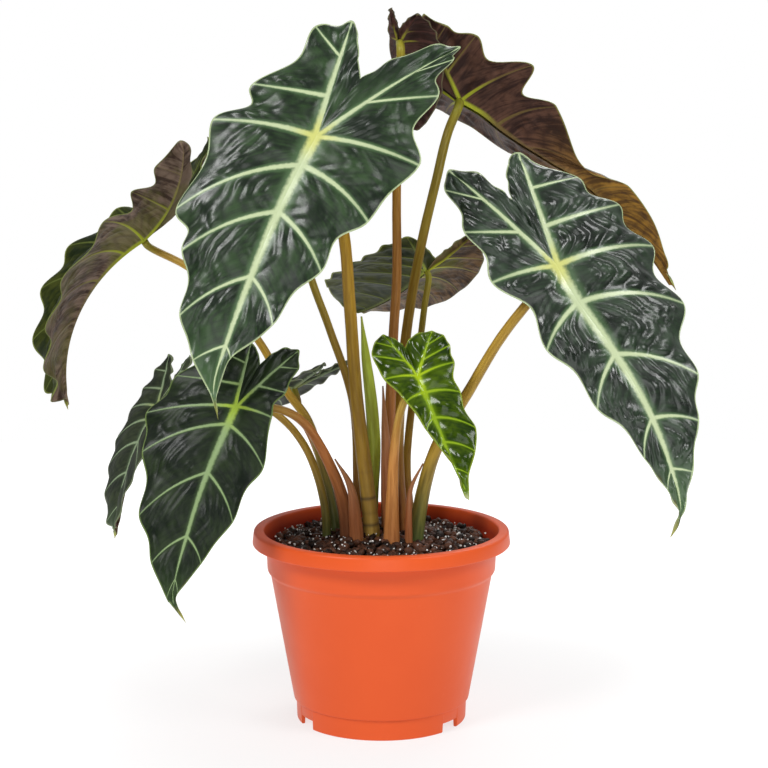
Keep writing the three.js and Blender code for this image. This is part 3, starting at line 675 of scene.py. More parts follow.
class Skin(Enum):
    """The skins of petioles, spear, sheaths and rhizome."""

    GREEN = StemSkin(
        "skin_green", (0.46, 0.31, 0.075), (0.34, 0.20, 0.018), (0.40, 0.23, 0.012),
        turn=0.3, rings=0.9)
    GOLDEN = StemSkin(
        "skin_golden", (0.11, 0.16, 0.050), (0.40, 0.25, 0.030), (0.50, 0.31, 0.045), turn=0.42)
    OLIVE = StemSkin(
        "skin_olive", (0.36, 0.13, 0.040), (0.33, 0.19, 0.024), (0.28, 0.22, 0.025), turn=0.35)
    RED = StemSkin(
        "skin_red", (0.24, 0.095, 0.050), (0.44, 0.16, 0.045), (0.30, 0.20, 0.035), turn=0.5)
    ORANGE = StemSkin(
        "skin_orange", (0.46, 0.17, 0.060), (0.62, 0.27, 0.065), (0.50, 0.36, 0.060), turn=0.5)
    CROWN = StemSkin(
        "skin_crown", (0.42, 0.15, 0.050), (0.36, 0.16, 0.035), (0.38, 0.23, 0.025), turn=0.55)
    SHEATH = StemSkin(
        "sheath_skin", (0.36, 0.16, 0.055), (0.34, 0.12, 0.045), (0.34, 0.15, 0.060),
        neck=(0.20, 0.09, 0.04), turn=0.4)
    SPEAR = StemSkin(
        "spear_skin", (0.30, 0.24, 0.03), (0.38, 0.44, 0.05), (0.42, 0.52, 0.06),
        neck=(0.36, 0.42, 0.08), turn=0.3)
    RHIZOME = StemSkin(
        "rhizome_skin", (0.16, 0.09, 0.05), (0.20, 0.12, 0.07), (0.22, 0.13, 0.08),
        neck=(0.22, 0.13, 0.08))


def leaf_faces() -> dict[Look, tuple[bpy.types.Material, ...]]:
    """The upper face, the underside and the green underside of each look of leaf."""
    made = {face.name: face.material() for face in (*UPPER_FACES, *UNDER_FACES)}
    return {look: tuple(made[name] for name in (*look.value, MOSS)) for look in Look}


def stem_skins() -> dict[Skin, bpy.types.Material]:
    """The material of each skin."""
    return {skin: skin.value.material() for skin in Skin}


# Blades


# Where the widest vein end and the lobe's tip stand in a side's list
WIDEST = 4
LOBE_TIP = 7

# The first interval on the inner side of the lobe, counted along the margin from the tip
INNER_LOBE = 9

THICKNESS = 0.8
RIB_BELOW = 1.3
RIB_ABOVE = 0.3
VEIN_ABOVE = 0.14
VEIN_BELOW = 0.5
GAP = 0.55
NECK = 7.0
DRIP_SHARE = 0.07
DRIP_HALF_WIDTH = 2.4
BAY_SHARES = (0, 0.3, 0.8, 1, 1, 1, 1, 0.8, -0.4, -0.3, 0, 0)
LOBE_ROOTS = (-0.34, -0.68, -0.93, -0.68, -0.34)
VEIN_WEIGHTS = (0, 0, 0.5, 0.75, 0.9, 1, 1, 0.8, 0.55, 0.7, 0, 0, 0)
ROW_SIZE = 1.15
ROW_LIMITS = (6, 30)
ROW_EASE = 0.6
NEAR_RIB = (0, 0.008, 0.018, 0.03, 0.045, 0.062, 0.082)
COLUMN_LIMITS = (26, 62)
FULL_LENGTH = 184.0
BOW = 0.075
PILLOW_PITCH = 10.5
PILLOW_SLANT = 0.8
PILLOW_FLOOR = 0.3
PILLOW_GAIN = 1.8
UNEVENNESS = 0.7
LATERAL_LIMIT = 40.0
VEIN_HALF_WIDTH = 2.2
VEIN_THINNING = 0.66
HUB_RADIUS = 4.6
FAR = 1e3
RIM_THINNING = 2.5
CORD_WIDTH = 0.65
FIRST_ROOTS = (0.97, 0.9)

# Offset, cell and seed of each noise over a blade
WOBBLE = (500, 15.0, 3)
DRIFT = (900, 11.0, 9)
PATCHES = (700, 14.0, 8)
ROUGHNESS = (300, 9.0, 5)

# How the finishes' own coordinates are spread
DRAWING_SIDE = 40.0
FLOW_SCALE = (0.42, 0.05)
FLOW_INTERVAL = 7.0
FLOW_SIDE = 3.0


def bays(scallop: float) -> tuple[tuple[float, ...], tuple[float, ...]]:
    """The depths of the bays between veins, alike on both sides, from one depth."""
    depths = tuple(scallop * share for share in BAY_SHARES)
    return depths, depths


def typical(length: float, left: float, right: float, lobe: float) -> dict:
    """A blade's typical drawing.

    Args:
        length: From the junction to the tip.
        left: Half-width on the left side.
        right: Half-width on the right side.
        lobe: How far the lobes reach back.

    Returns:
        The drawing's fields of a BladePlan.
    """

    def side(half: float) -> tuple[tuple[float, float], ...]:
        """The vein ends of one side."""
        return (
            (0.33 * half, 0.9 * length), (0.68 * half, 0.7 * length),
            (0.92 * half, 0.5 * length), (half, 0.3 * length), (half, 0.05 * length),
            (0.92 * half, -0.3 * lobe), (0.76 * half, -0.68 * lobe), (0.5 * half, -lobe),
            (0.26 * half, -0.82 * lobe), (0.12 * half, -0.62 * lobe),
        )

    return {
        "length": length,
        "midrib": ((0, 0.3 * length), (0, 0.6 * length), (0, 0.9 * length)),
        "roots": (0.76 * length, 0.52 * length, 0.29 * length, 0.11 * length),
        "left": side(left), "right": side(right), "sinus": (0, -0.45 * lobe),
    }


@dataclass(frozen=True)
class BladePlan:
    """A blade's drawing and bends, the same as in the part's source.

    across is measured from the midrib's axis and along from the junction to the tip.
    pillow is the height of the small swellings between cross veins, and green_below the
    side whose underside is green too.
    """

    name: str
    junction: tuple[float, float, float]
    tipward: tuple[float, float, float]
    face: tuple[float, float, float]
    length: float
    midrib: tuple[tuple[float, float], ...]
    roots: tuple[float, ...]
    left: tuple[tuple[float, float], ...]
    right: tuple[tuple[float, float], ...]
    sinus: tuple[float, float]
    bays: tuple[tuple[float, ...], tuple[float, ...]]
    droop: float
    lobe_droop: float
    fold: tuple[float, float]
    arch: tuple[float, float]
    wave: float
    quilt: float
    twist: float = 0.0
    pillow: float = 0.7
    look: Look = Look.PLAIN
    green_below: Side | None = None

    def half_width(self) -> float:
        """The larger half-width, at the widest vein."""
        return max(self.left[WIDEST][0], self.right[WIDEST][0])

    def ends(self, side: Side) -> tuple[tuple[float, float], ...]:
        """The vein ends of one side."""
        return self.left if side is Side.LEFT else self.right


PLANS = (
    BladePlan(
        name="front_leaf", junction=(-40, -50, 384), tipward=(-0.322, -0.3, -0.9),
        face=(0, -0.93, 0.37), length=184,
        midrib=((6, 46), (9, 93), (10, 138), (9, 166)), roots=(140, 95, 52, 20),
        left=((26, 155), (42, 132), (54, 94), (67, 70), (64, 10), (48, -19), (24, -67),
              (4, -79), (-5, -66), (-9, -55)),
        right=((-4, 147), (14, 120), (31, 80), (48, 41), (66, -3), (63, -50), (64, -77),
               (65, -87), (50, -82), (28, -61)),
        bays=((0, 0, 1, 4, 6, 7, 11, 8, 3, -0.3, 0, 0), (0, 0, 0, 5, 7, 3, 10, 6, 3, 0, 0, 0)),
        sinus=(-14, -44.5), droop=8, lobe_droop=10, fold=(10, 10), arch=(27, 27),
        wave=2.4, quilt=1.6, pillow=0.75,
    ),
    BladePlan(
        name="right_leaf", junction=(111, -24, 302), tipward=(0.386, -0.27, -0.88),
        face=(0.05, -0.93, 0.35), length=186,
        midrib=((-3, 25), (-12.5, 68), (-18, 115), (-14, 170)), roots=(146, 112, 66, 27),
        left=((-9, 158), (-3, 134), (13, 94), (28, 48), (43, -5), (46, -42), (46, -73),
              (38, -84), (22, -75), (12, -57)),
        right=((29, 153), (46, 125), (58, 98), (75, 52), (75, 8), (60, -25), (38, -50),
               (8, -78), (-2, -73), (-7, -62)),
        bays=((0, 0, 0, 5, 6, 10, 6, 5, 1, 0, 0, 0), (0, 0, 0, 1.5, 8, 11, 7, 6, 3, 0, 0, 0)),
        sinus=(9, -51), droop=10, lobe_droop=10, fold=(8, 4), arch=(27.5, 50),
        wave=2, quilt=1.8, pillow=1.8, look=Look.GLOSSY,
    ),
    BladePlan(
        name="high_right_leaf", junction=(53, 80, 404), tipward=(0.776, 0.179, -0.605),
        face=(0.154, 0.876, 0.457), length=201,
        midrib=((3, 17), (3, 34), (5, 52), (9, 76), (13, 100), (11, 150)),
        roots=(148, 110, 56, 30),
        left=((13, 179), (33, 126), (21, 92), (43, 50), (55, 18), (45, -23), (36, -42),
              (31, -58), (12, -42), (4, -30)),
        right=((3, 176), (14, 146), (24, 108), (44, 58), (50, 8), (38, -17), (28, -34),
               (19, -50), (9, -39), (3, -30)),
        bays=((0, 0, -4, 5, -2, 18, 13, 2, 0, 0, 0, 0), (0, 0, 0, 2, 5, 11, 3, 1, 0, 0, 0, 0)),
        sinus=(0, -22), droop=12, lobe_droop=1, fold=(8, 55), arch=(23.5, 21), twist=-14,
        wave=1.5, quilt=1.5, pillow=0.8, look=Look.OCHRE,
    ),
    BladePlan(
        name="left_leaf", junction=(-160, 58, 312), tipward=(-0.857, -0.006, -0.515),
        face=(-0.485, -0.327, 0.811), **typical(144, 38, 48, 82), bays=bays(5), droop=70,
        lobe_droop=-44, fold=(33, 62), arch=(32, 29), twist=40, wave=3, quilt=1.3,
        pillow=0.9, look=Look.MAUVE,
    ),
    BladePlan(
        name="middle_back_leaf", junction=(31, 108, 287), tipward=(-0.426, 0.759, -0.493),
        face=(-0.339, 0.372, 0.865), **typical(118, 46, 56, 36), bays=bays(1.5), droop=-18,
        lobe_droop=-26, fold=(6, 25), arch=(39, 19), twist=-14, wave=1.2, quilt=1.2,
        pillow=0.8, look=Look.BACK, green_below=Side.RIGHT,
    ),
    BladePlan(
        name="low_front_leaf", junction=(-90, -62, 218), tipward=(-0.216, -0.358, -0.91),
        face=(-0.05, -0.93, 0.36), length=137,
        midrib=((3, 16), (8, 45), (11, 77), (12, 122)), roots=(112, 85, 44, 12),
        left=((15, 125), (29, 106), (43, 79), (51, 40), (55, 15), (42, -12), (20, -33),
              (1, -42), (-5, -37), (-7, -33)),
        right=((-9, 121), (1, 100), (14, 71), (25, 34), (23, 2), (28, -16), (32, -34),
               (29, -46), (20, -45), (13, -38)),
        bays=((0, 0, 0, 2.5, 3.5, 1, 3, 2, 0, 0, 0, 0), (0, 0, 0, 1, 3.5, 0, 2, 1, 0, 0, 0, 0)),
        sinus=(-8, -30), droop=8, lobe_droop=12, fold=(8, 4), arch=(30, 50),
        wave=1.4, quilt=1.4, pillow=0.8, look=Look.SHADED,
    ),
    BladePlan(
        name="low_left_leaf", junction=(-144, -14, 210), tipward=(-0.494, -0.389, -0.778),
        face=(-0.712, -0.334, 0.618), **typical(90, 34, 31, 37), bays=bays(0.8), droop=30,
        lobe_droop=-8, fold=(16, 19), arch=(26, 23), twist=-7, wave=1, quilt=1.2,
        pillow=0.4, look=Look.OLD,
    ),
    BladePlan(
        name="low_back_leaf", junction=(-60, 64, 211), tipward=(-0.7, 0.55, -0.45),
        face=(-0.35, 0.3, 0.9), **typical(76, 27, 27, 44), bays=bays(1), droop=14,
        lobe_droop=1, fold=(12, 12), arch=(30, 30), wave=1, quilt=1, pillow=0.6, look=Look.GREEN,
    ),
    BladePlan(
        name="young_leaf", junction=(23, -42, 234), tipward=(0.37, -0.44, -0.82),
        face=(0.1, -0.9, 0.42), length=86,
        midrib=((0.5, 15), (1, 35), (1, 60), (0, 75)), roots=(64, 46, 29, 12),
        left=((0, 66), (5, 50), (9, 36), (14, 14), (21, -5), (22, -23), (17, -31),
              (10, -34), (4, -29), (1, -24)),
        right=((6, 71), (15, 59), (21, 45), (21, 20), (25, 0), (27, -12), (26, -20),
               (20, -25), (11, -27), (4, -25)),
        bays=((0, 0, 0, 0.5, 1, 1, 0.5, 0, 0, 0, 0, 0), (0, 0, 0, 0, 2, 2, 0.5, 0, 0, 0, 0, 0)),
        sinus=(0, -21), droop=6, lobe_droop=10, fold=(14, 14), arch=(34, 23),
        wave=0.8, quilt=2.1, pillow=0.9, look=Look.YOUNG,
    ),
    BladePlan(
        name="crown_leaf", junction=(12, 34, 443), tipward=(0.1, 0.55, -0.83),
        face=(-0.05, 0.83, 0.55), **typical(84, 27, 15, 22), bays=bays(0.8), droop=-14,
        lobe_droop=20, fold=(4, 66), arch=(30, 14), wave=0.8, quilt=1.2, pillow=0.8,
        look=Look.CROWN,
    ),
    BladePlan(
        name="upper_back_leaf", junction=(-63, 32, 342), tipward=(-0.45, 0.5, -0.74),
        face=(-0.35, 0.7, 0.62), **typical(110, 38, 38, 46), bays=bays(1.2), droop=8,
        lobe_droop=6, fold=(10, 10), arch=(30, 30), wave=1.2, quilt=1.2, pillow=0.6,
    ),
)


@dataclass(frozen=True)
class Rows:
    """The rows of one side of a blade's drawing, from its tip round to its sinus.

    place counts the veins from the tip, vein is its whole part and part the rest. start
    lies on a rib, end on the margin, and whole numbers the rows that follow a vein.
    """

    place: Array
    vein: Array
    part: Array
    root: Array
    start: Array
    end: Array
    whole: Array


@dataclass(frozen=True)
class Grid:
    """One side of a blade as a grid of places on its flat drawing.

    share runs from the rib to the margin, and length is that of the row. thin is how far
    a side vein has tapered, lateral the distance to the nearest one, from_rib about that
    to the rib, rib_width the rib's half-width, hub the distance to the junction, and ratio
    the distance to the nearest vein or rib over its half-width.
    """

    rows: Rows
    share: Array
    length: Array
    across: Array
    along: Array
    thin: Array
    lateral: Array
    from_rib: Array
    rib_width: Array
    hub: Array
    ratio: Array

    def noise(self, offset: float, cell: float, seed: int) -> Array:
        """Smooth noise over the drawing."""
        return value_noise(self.across + offset, self.along + offset, cell, seed)


@dataclass
class Blade:
    """One blade, built from its plan as two relief faces closed at the margin."""

    plan: BladePlan
    tipward: Array = field(init=False)
    normal: Array = field(init=False)
    leftward: Array = field(init=False)
    rib_line: Array = field(init=False)
    size: float = field(init=False)

    def __post_init__(self) -> None:
        """Works out the blade's own directions, its midrib and its veins' size."""
        self.tipward = unit(self.plan.tipward)
        face = np.asarray(self.plan.face, float)
        self.normal = unit(face - self.tipward * (face @ self.tipward))
        self.leftward = np.cross(self.tipward, self.normal)
        points = np.array([(0, 0), *self.plan.midrib, (0, self.plan.length)], float)
        self.rib_line = spline(points, np.linspace(0, len(points) - 1, 25))
        self.size = 0.4 + 0.6 * self.plan.length / FULL_LENGTH

    def middle(self, along: Array) -> Array:
        """How far the midrib lies to the left of its axis."""
        return np.where(along > 0, np.interp(along, self.rib_line[:, 1], self.rib_line[:, 0]), 0.0)

    def bent(self, across: Array, along: Array) -> Array:
        """Places of the flat drawing, bent into the leaf's form.

        The midrib is an arc of constant curvature towards the underside. Across it, the
        slope starts at the fold angle and falls evenly by the arch angle at the widest
        place, and the closed integrals of its cosine and sine give the place. The whole
        section turns about the midrib by the twist.

        Args:
            across: Distance to the left of the midrib's axis.
            along: Distance from the junction towards the tip.

        Returns:
            The places in space, in millimetres.
        """
        p = self.plan
        lobe = math.hypot(*p.left[LOBE_TIP])
        half = p.half_width()
        front = along > 0
        rate = np.where(front, math.radians(p.droop) / p.length, math.radians(p.lobe_droop) / lobe)
        turn = rate * along
        forward, down = np.sin(turn) / rate, (1 - np.cos(turn)) / rate
        cosine, sine = np.cos(turn)[..., None], np.sin(turn)[..., None]
        upright = self.normal * cosine + self.tipward * sine
        twist = (math.radians(p.twist) * along / p.length)[..., None]
        sideways = self.leftward * np.cos(twist) + upright * np.sin(twist)
        lifted = upright * np.cos(twist) - self.leftward * np.sin(twist)
        middle = self.middle(along)
        offset = across - middle
        left = offset >= 0
        fold = np.radians(np.where(left, p.fold[0], p.fold[1]))
        curl = -np.radians(np.where(left, p.arch[0], p.arch[1])) / half
        reach = np.abs(offset)
        outward = (np.sin(fold + curl * reach) - np.sin(fold)) / curl * np.sign(offset)
        rise = (np.cos(fold) - np.cos(fold + curl * reach)) / curl
        return (
            np.asarray(p.junction, float)
            + self.tipward * forward[..., None]
            - self.normal * down[..., None]
            + self.leftward * middle[..., None]
            + sideways * outward[..., None]
            + lifted * rise[..., None]
        )

    def facing(self, across: Array, along: Array, sign: float) -> Array:
        """The direction of the upper face, from the slopes along and across.

        Args:
            across: Distance to the left of the midrib's axis.
            along: Distance from the junction towards the tip.
            sign: 1 on the left side and -1 on the right, to step away from the fold.

        Returns:
            Unit vectors.
        """
        step = 0.5
        forward = self.bent(across, along + step) - self.bent(across, along - step)
        aside = self.bent(across + sign * step, along) - self.bent(across, along)
        return rows_unit(np.cross(aside, forward) * sign)

    def rows(self, side: Side) -> Rows:
        """Where the rows of one side start and end, with the margin's bays.

        Between two veins the rows lie at t - ease * sin(2 pi t) / (2 pi) for even steps
        of t, so they crowd beside the veins. A bay pulls the margin towards the ribs by
        its depth times sin^2 between its two veins.

        Args:
            side: Which side.

        Returns:
            The rows.
        """
        p = self.plan
        given = np.array(p.ends(side), float) * (side.value, 1.0)
        drip = (1 - DRIP_SHARE) * p.length
        beside = float(self.middle(np.array(drip))) + side.value * DRIP_HALF_WIDTH
        margin = np.vstack([[(0.0, p.length), (beside, drip)], given, [p.sinus]])
        spans = np.linalg.norm(np.diff(margin, axis=0), axis=1)
        places = []
        for vein, span in enumerate(spans):
            count = int(np.clip(round(span / ROW_SIZE), *ROW_LIMITS))
            t = np.arange(count) / count
            places.append(vein + t - ROW_EASE * np.sin(2 * np.pi * t) / (2 * np.pi))
        place = np.concatenate([*places, [len(spans)]])
        lobe_tip = given[LOBE_TIP]
        lobe = float(np.hypot(*lobe_tip))
        first = (share * p.length for share in FIRST_ROOTS)
        roots = [*first, *p.roots, 0, *(lobe * share for share in LOBE_ROOTS), 0]
        root = np.interp(place, np.arange(len(margin)), roots)
        start = np.stack([self.middle(root), root], axis=1)
        start[root < 0] = lobe_tip * (-root[root < 0] / lobe)[:, None]
        vein = np.minimum(np.floor(place).astype(int), len(spans) - 1)
        part = place - vein
        end = spline(margin, place)
        depth = np.array(p.bays[0 if side is Side.LEFT else 1])[vein] * np.sin(np.pi * part) ** 2
        end = end + rows_unit(start - end) * depth[:, None]
        counts = [len(some) for some in places]
        whole = np.concatenate([[0], np.cumsum(counts)])
        return Rows(place, vein, part, root, start, end, whole)

    def grid(self, side: Side) -> Grid:
        """Lays one side out flat, with its distances to the veins.

        A row runs from a rib to the margin and bows back from the tip, as the veins do:
        sideways by 4 * bow * share * (1 - share) of its length.

        Args:
            side: Which side.

        Returns:
            The grid.
        """
        p = self.plan
        rows = self.rows(side)
        columns = int(np.clip(round(1.05 * p.half_width()), *COLUMN_LIMITS))
        share = np.concatenate([NEAR_RIB, np.linspace(0.105, 0.985, columns), [1.0]])[None, :]
        span = rows.end - rows.start
        length = np.linalg.norm(span, axis=1)[:, None] + 1e-6
        back = np.stack([side.value * span[:, 1], -side.value * span[:, 0]], axis=1)
        bow = BOW * smooth(0.6, 3.0, rows.place) * smooth(7.0, 5.0, rows.place)
        curve = 4 * bow[:, None] * share * (1 - share)
        flat = rows.start[:, None] + span[:, None] * share[..., None]
        flat = flat + back[:, None] * curve[..., None]
        across, along = flat[..., 0], flat[..., 1]

        thin = 1.0 - VEIN_THINNING * share**0.8
        ratios, gaps = [], []
        for own in (rows.vein, rows.vein + 1):
            gap = np.linalg.norm(flat - flat[rows.whole[own]], axis=2)
            weight = np.array(VEIN_WEIGHTS)[own][:, None]
            width = np.maximum(VEIN_HALF_WIDTH * self.size * thin * weight, 1e-3)
            ratios.append(np.where(weight > 0, gap / width, FAR))
            gaps.append(np.where(weight > 0, gap, FAR))
        on_lobe = (rows.root < 0)[:, None]
        lobe = math.hypot(*p.ends(side)[LOBE_TIP])
        gone = np.where(on_lobe, -rows.root[:, None] / lobe, rows.root[:, None] / p.length)
        rib_width = self.size * np.where(on_lobe, 3.0 - 2.1 * gone, 4.0 - 3.2 * gone)
        from_rib = share * length * 0.9
        hub = np.hypot(across, along)
        ratio = np.minimum(np.minimum(*ratios), from_rib / rib_width)
        ratio = np.minimum(ratio, hub / (HUB_RADIUS * self.size))
        return Grid(
            rows, share, length, across, along, thin, np.minimum(*gaps), from_rib, rib_width,
            hub, ratio,
        )

    def relief(self, g: Grid) -> tuple[Array, Array]:
        """The relief of one side.

        The height is the wave of the margin, a swelling between two veins, small pillows
        on it and a slow unevenness. A pillow is |sin| of the place along the row, slanted
        by the distance to the vein, times |sin| of that distance.

        Args:
            g: The side's grid.

        Returns:
            The height over the bent drawing, and the depth of the creases from 0 to 1,
            where the finishes paint shade.
        """
        p, rows, share = self.plan, g.rows, g.share
        last = len(VEIN_WEIGHTS) - 1
        next_vein = np.minimum(rows.vein + 1, last - 1)
        age, next_age = scatter(rows.vein + p.length), scatter(next_vein + p.length)
        blend = smooth(0.5, 1.0, rows.part)
        heave = (0.5 + age) * (1 - blend) + (0.5 + next_age) * blend
        ends_fade = smooth(0.0, 0.8, rows.place) * smooth(0.0, 0.8, last - rows.place)
        lift = p.wave * np.cos(2 * np.pi * rows.part) * heave * ends_fade
        swell = np.sin(np.pi * rows.part) ** 2
        puff = p.quilt * swell[:, None] * 4 * share * (1 - share)

        pitch = PILLOW_PITCH * self.size
        beside = np.minimum(g.lateral, LATERAL_LIMIT)
        slanted = (share * g.length - PILLOW_SLANT * beside) / pitch
        ridge = np.abs(np.sin(np.pi * (slanted + 0.5 * g.noise(*WOBBLE))))
        cross = np.abs(np.sin(np.pi * (beside / (1.1 * pitch) + 0.6 * g.noise(*DRIFT))))
        ridge = ridge * (0.45 + 0.55 * cross)
        room = smooth(0.6, 6.5, g.lateral) * smooth(1.0, 8.0, g.from_rib)
        room = room * smooth(0.0, 0.18, 1 - share)
        room = room * np.where(rows.vein >= INNER_LOBE, 0.3, 1.0)[:, None]
        patch = 0.6 + 0.4 * g.noise(*PATCHES)
        pillow = p.pillow * self.size * room * (ridge - PILLOW_FLOOR) * patch * PILLOW_GAIN
        rough = UNEVENNESS * self.size * g.noise(*ROUGHNESS) * room
        # The second value is the mask of the painted shade in the creases.
        return lift[:, None] * share**3 + puff + pillow + rough, room * (1 - ridge) ** 2

    def values(self, g: Grid, rim: Array, crease_shade: Array, sign: float) -> dict[str, Array]:
        """The point values that the finishes read.

        Args:
            g: The side's grid.
            rim: Distance to the margin.
            crease_shade: Depth of the creases.
            sign: 1 on the left side and -1 on the right.

        Returns:
            The values by name. drawing is the place on the flat drawing, and flow runs
            along the side veins, with a stretch of its own for each interval.
        """
        shape = g.across.shape
        numbers = {
            "vein": g.ratio, "rim": rim, "hub": g.hub, "crease_shade": crease_shade, "outward": g.share,
            "reach": np.clip(g.along / self.plan.length, 0, 1),
        }
        found = {name: np.broadcast_to(value, shape).ravel() for name, value in numbers.items()}
        beside, away = FLOW_SCALE
        interval = np.broadcast_to(FLOW_INTERVAL * g.rows.vein[:, None], shape) + FLOW_SIDE * sign
        vectors = {
            "drawing": (g.across, g.along, np.full(shape, DRAWING_SIDE * sign)),
            "flow": (beside * g.lateral, away * g.from_rib, interval),
        }
        for name, parts in vectors.items():
            found[name] = np.stack(parts, axis=-1).reshape(-1, 3)
        return found

    def half(self, side: Side) -> tuple[Sheet, Sheet, Array]:
        """One side of the blade.

        Each face lies half the thickness off the relief, less at the margin. The rib
        adds exp(-(distance / width)^2) to it, and a side vein the same of its ratio.

        Args:
            side: Which side.

        Returns:
            The upper face, the underside, and the numbers of their margin's points.
        """
        g = self.grid(side)
        height, crease_shade = self.relief(g)
        normal = self.facing(g.across, g.along, side.value)
        body = self.bent(g.across, g.along) + normal * height[..., None]
        strength = smooth(0.0, 0.12, g.length / 60)
        bead = np.exp(-((g.from_rib / (0.6 * g.rib_width)) ** 2)) * strength
        keel = np.exp(-((g.from_rib / (0.4 + 0.65 * g.rib_width)) ** 2)) * strength
        cord = np.exp(-((g.ratio / CORD_WIDTH) ** 2)) * g.thin
        rim = (1 - g.share) * g.length
        skin = THICKNESS / 2 * (0.5 + 0.5 * smooth(0.0, RIM_THINNING, rim))
        above = skin + RIB_ABOVE * bead + VEIN_ABOVE * cord
        below = skin + RIB_BELOW * keel + VEIN_BELOW * cord
        values = self.values(g, rim, crease_shade, side.value)
        count, width = g.across.shape
        quads = grid_quads(count, width)
        if side is Side.LEFT:
            quads = quads[:, ::-1]
        upper = Sheet((body + normal * above[..., None]).reshape(-1, 3), quads, None, values)
        slots = np.full(len(quads), 2 if self.plan.green_below is side else 1)
        lower = (body - normal * below[..., None]).reshape(-1, 3)
        under = Sheet(lower, quads[:, ::-1], slots, dict(values))
        return upper, under, np.arange(count) * width + width - 1

    def build(
        self, upper: bpy.types.Material, under: bpy.types.Material, moss: bpy.types.Material,
    ) -> bpy.types.Object:
        """Joins both sides and their margin walls into one closed piece.

        Args:
            upper: Material of the upper face and the margin.
            under: Material of the underside.
            moss: Material of an underside that is green too.

        Returns:
            The piece.
        """
        parts: list[Sheet] = []
        walls = []
        offset = 0
        for side in Side:
            top, bottom, rim = self.half(side)
            size = len(top.points)
            wall = np.stack([rim[:-1], rim[1:], rim[1:] + size, rim[:-1] + size], axis=1) + offset
            walls.append(wall if side is Side.RIGHT else wall[:, ::-1])
            parts += [top, bottom]
            offset += 2 * size
        whole = joined(parts)
        wall = np.vstack(walls)
        whole.quads = np.vstack([whole.quads, wall])
        whole.slots = np.concatenate([whole.slots, np.zeros(len(wall), int)])
        return whole.piece(f"{self.plan.name}_blade_detail", [upper, under, moss])

    def dress(self, piece: bpy.types.Object) -> None:
        """Ties the piece to the frame."""
        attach(piece, "root")
        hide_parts(f"{self.plan.name}_blade")


# Stems


@dataclass(frozen=True)
class StemPlan:
    """A stem's route and girth, the same as in the part's source."""

    node: str
    slot: str
    base: tuple[float, float]
    route: tuple[tuple[float, float, float], ...]
    girth: Callable[[Array], Array]
    flatness: float | None = None
    turn: float = 0.0
    ridges: int = 0
    ridge_depth: float = 0.0


STEM_BOTTOM = 98.6
STEM_FOOT = 18
STEM_SIDES = 28
STEM_RINGS = 150
STEM_REACH = 1.0
STEM_CURL = 0.55
STEM_WANDER = 0.02
SCAR_PITCH = 9.0
SCAR_WIDTH = 0.7
SCAR_REACH = (75.0, 45.0)
GRAIN = (2.2, 2.2, 0.045)


@dataclass
class Stem:
    """A petiole, spear or sheath: a closed tube along its route."""

    plan: StemPlan

    def build(
        self, material: bpy.types.Material, end: Sequence[Sequence[float]] = (),
    ) -> bpy.types.Object:
        """Carries an oval section along the route and closes both ends.

        A ring's point is centre + across * width * cos(angle) + depth * thick *
        sin(angle), with shallow ridges that run along the stem. A flat stem curls by a
        sag that grows towards its edges.

        Args:
            material: The stem's material.
            end: Points that lead the stem to its blade.

        Returns:
            The piece.
        """
        p = self.plan
        foot = [(*p.base, STEM_BOTTOM), (*p.base, STEM_BOTTOM + STEM_FOOT)]
        line = stem_line([*foot, *p.route, *end], STEM_RINGS)
        tangent = rows_unit(np.gradient(line, axis=0))
        turn = math.radians(p.turn)
        width = np.array([math.cos(turn), math.sin(turn), 0.0])
        across = rows_unit(width - tangent * (tangent @ width)[:, None])
        depth = np.cross(tangent, across)
        rise = np.linspace(0.0, 1.0, len(line))
        half = p.girth(rise)
        angle = 2 * np.pi * (np.arange(STEM_SIDES) + 0.5) / STEM_SIDES
        cosine, sine = np.cos(angle)[None, :], np.sin(angle)[None, :]
        thick, sag = half, 0.0
        if p.flatness is not None:
            thick = np.minimum(p.flatness, half)
            sag = STEM_CURL * half[:, None] * (cosine**2 - 0.5)
        place = distances(line)
        travelled = place[:, None]
        ridge = 1.0 + p.ridge_depth * np.cos(p.ridges * angle)[None, :]
        ridge = ridge + STEM_WANDER * value_noise(cosine * 6 + 40, travelled + 40, 7.0, 11)
        points = (
            line[:, None]
            + across[:, None] * (half[:, None] * cosine * ridge)[..., None]
            + depth[:, None] * (thick[:, None] * sine * ridge + sag)[..., None]
        )
        grain = [part * scale for part, scale in zip((cosine, sine, travelled), GRAIN)]
        grain = np.stack(np.broadcast_arrays(*grain), axis=-1).reshape(-1, 3)
        scar = np.exp(-(((place % SCAR_PITCH) - SCAR_PITCH / 2) / SCAR_WIDTH) ** 2)
        scar = scar * smooth(*SCAR_REACH, place)
        values = {
            "rise": np.concatenate([np.repeat(rise, STEM_SIDES), [0.0, 1.0]]),
            "scar": np.concatenate([np.repeat(scar, STEM_SIDES), [0.0, 0.0]]),
            "grain": np.vstack([grain, np.zeros((2, 3))]),
        }
        cloud = np.vstack([points.reshape(-1, 3), line[:1], line[-1:]])
        sheet = Sheet(cloud, capped(len(line), STEM_SIDES), None, values)
        return sheet.piece(f"{p.node}_detail", [material])

    def dress(self, piece: bpy.types.Object) -> None:
        """Ties the piece to the frame."""
        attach(piece, "root")
        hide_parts(self.plan.node)


def tapering(base: float, top: float) -> Callable[[Array], Array]:
    """A petiole's radius: top + (base - top) * (1 - rise)^2.2."""
    return lambda rise: top + (base - top) * (1.0 - rise) ** 2.2


def listed(widths: Sequence[float]) -> Callable[[Array], Array]:
    """Half-widths at equal steps, smooth between them."""
    table = np.array(widths, float)[:, None]
    return lambda rise: np.maximum(spline(table, rise * (len(widths) - 1))[:, 0], 0.3)


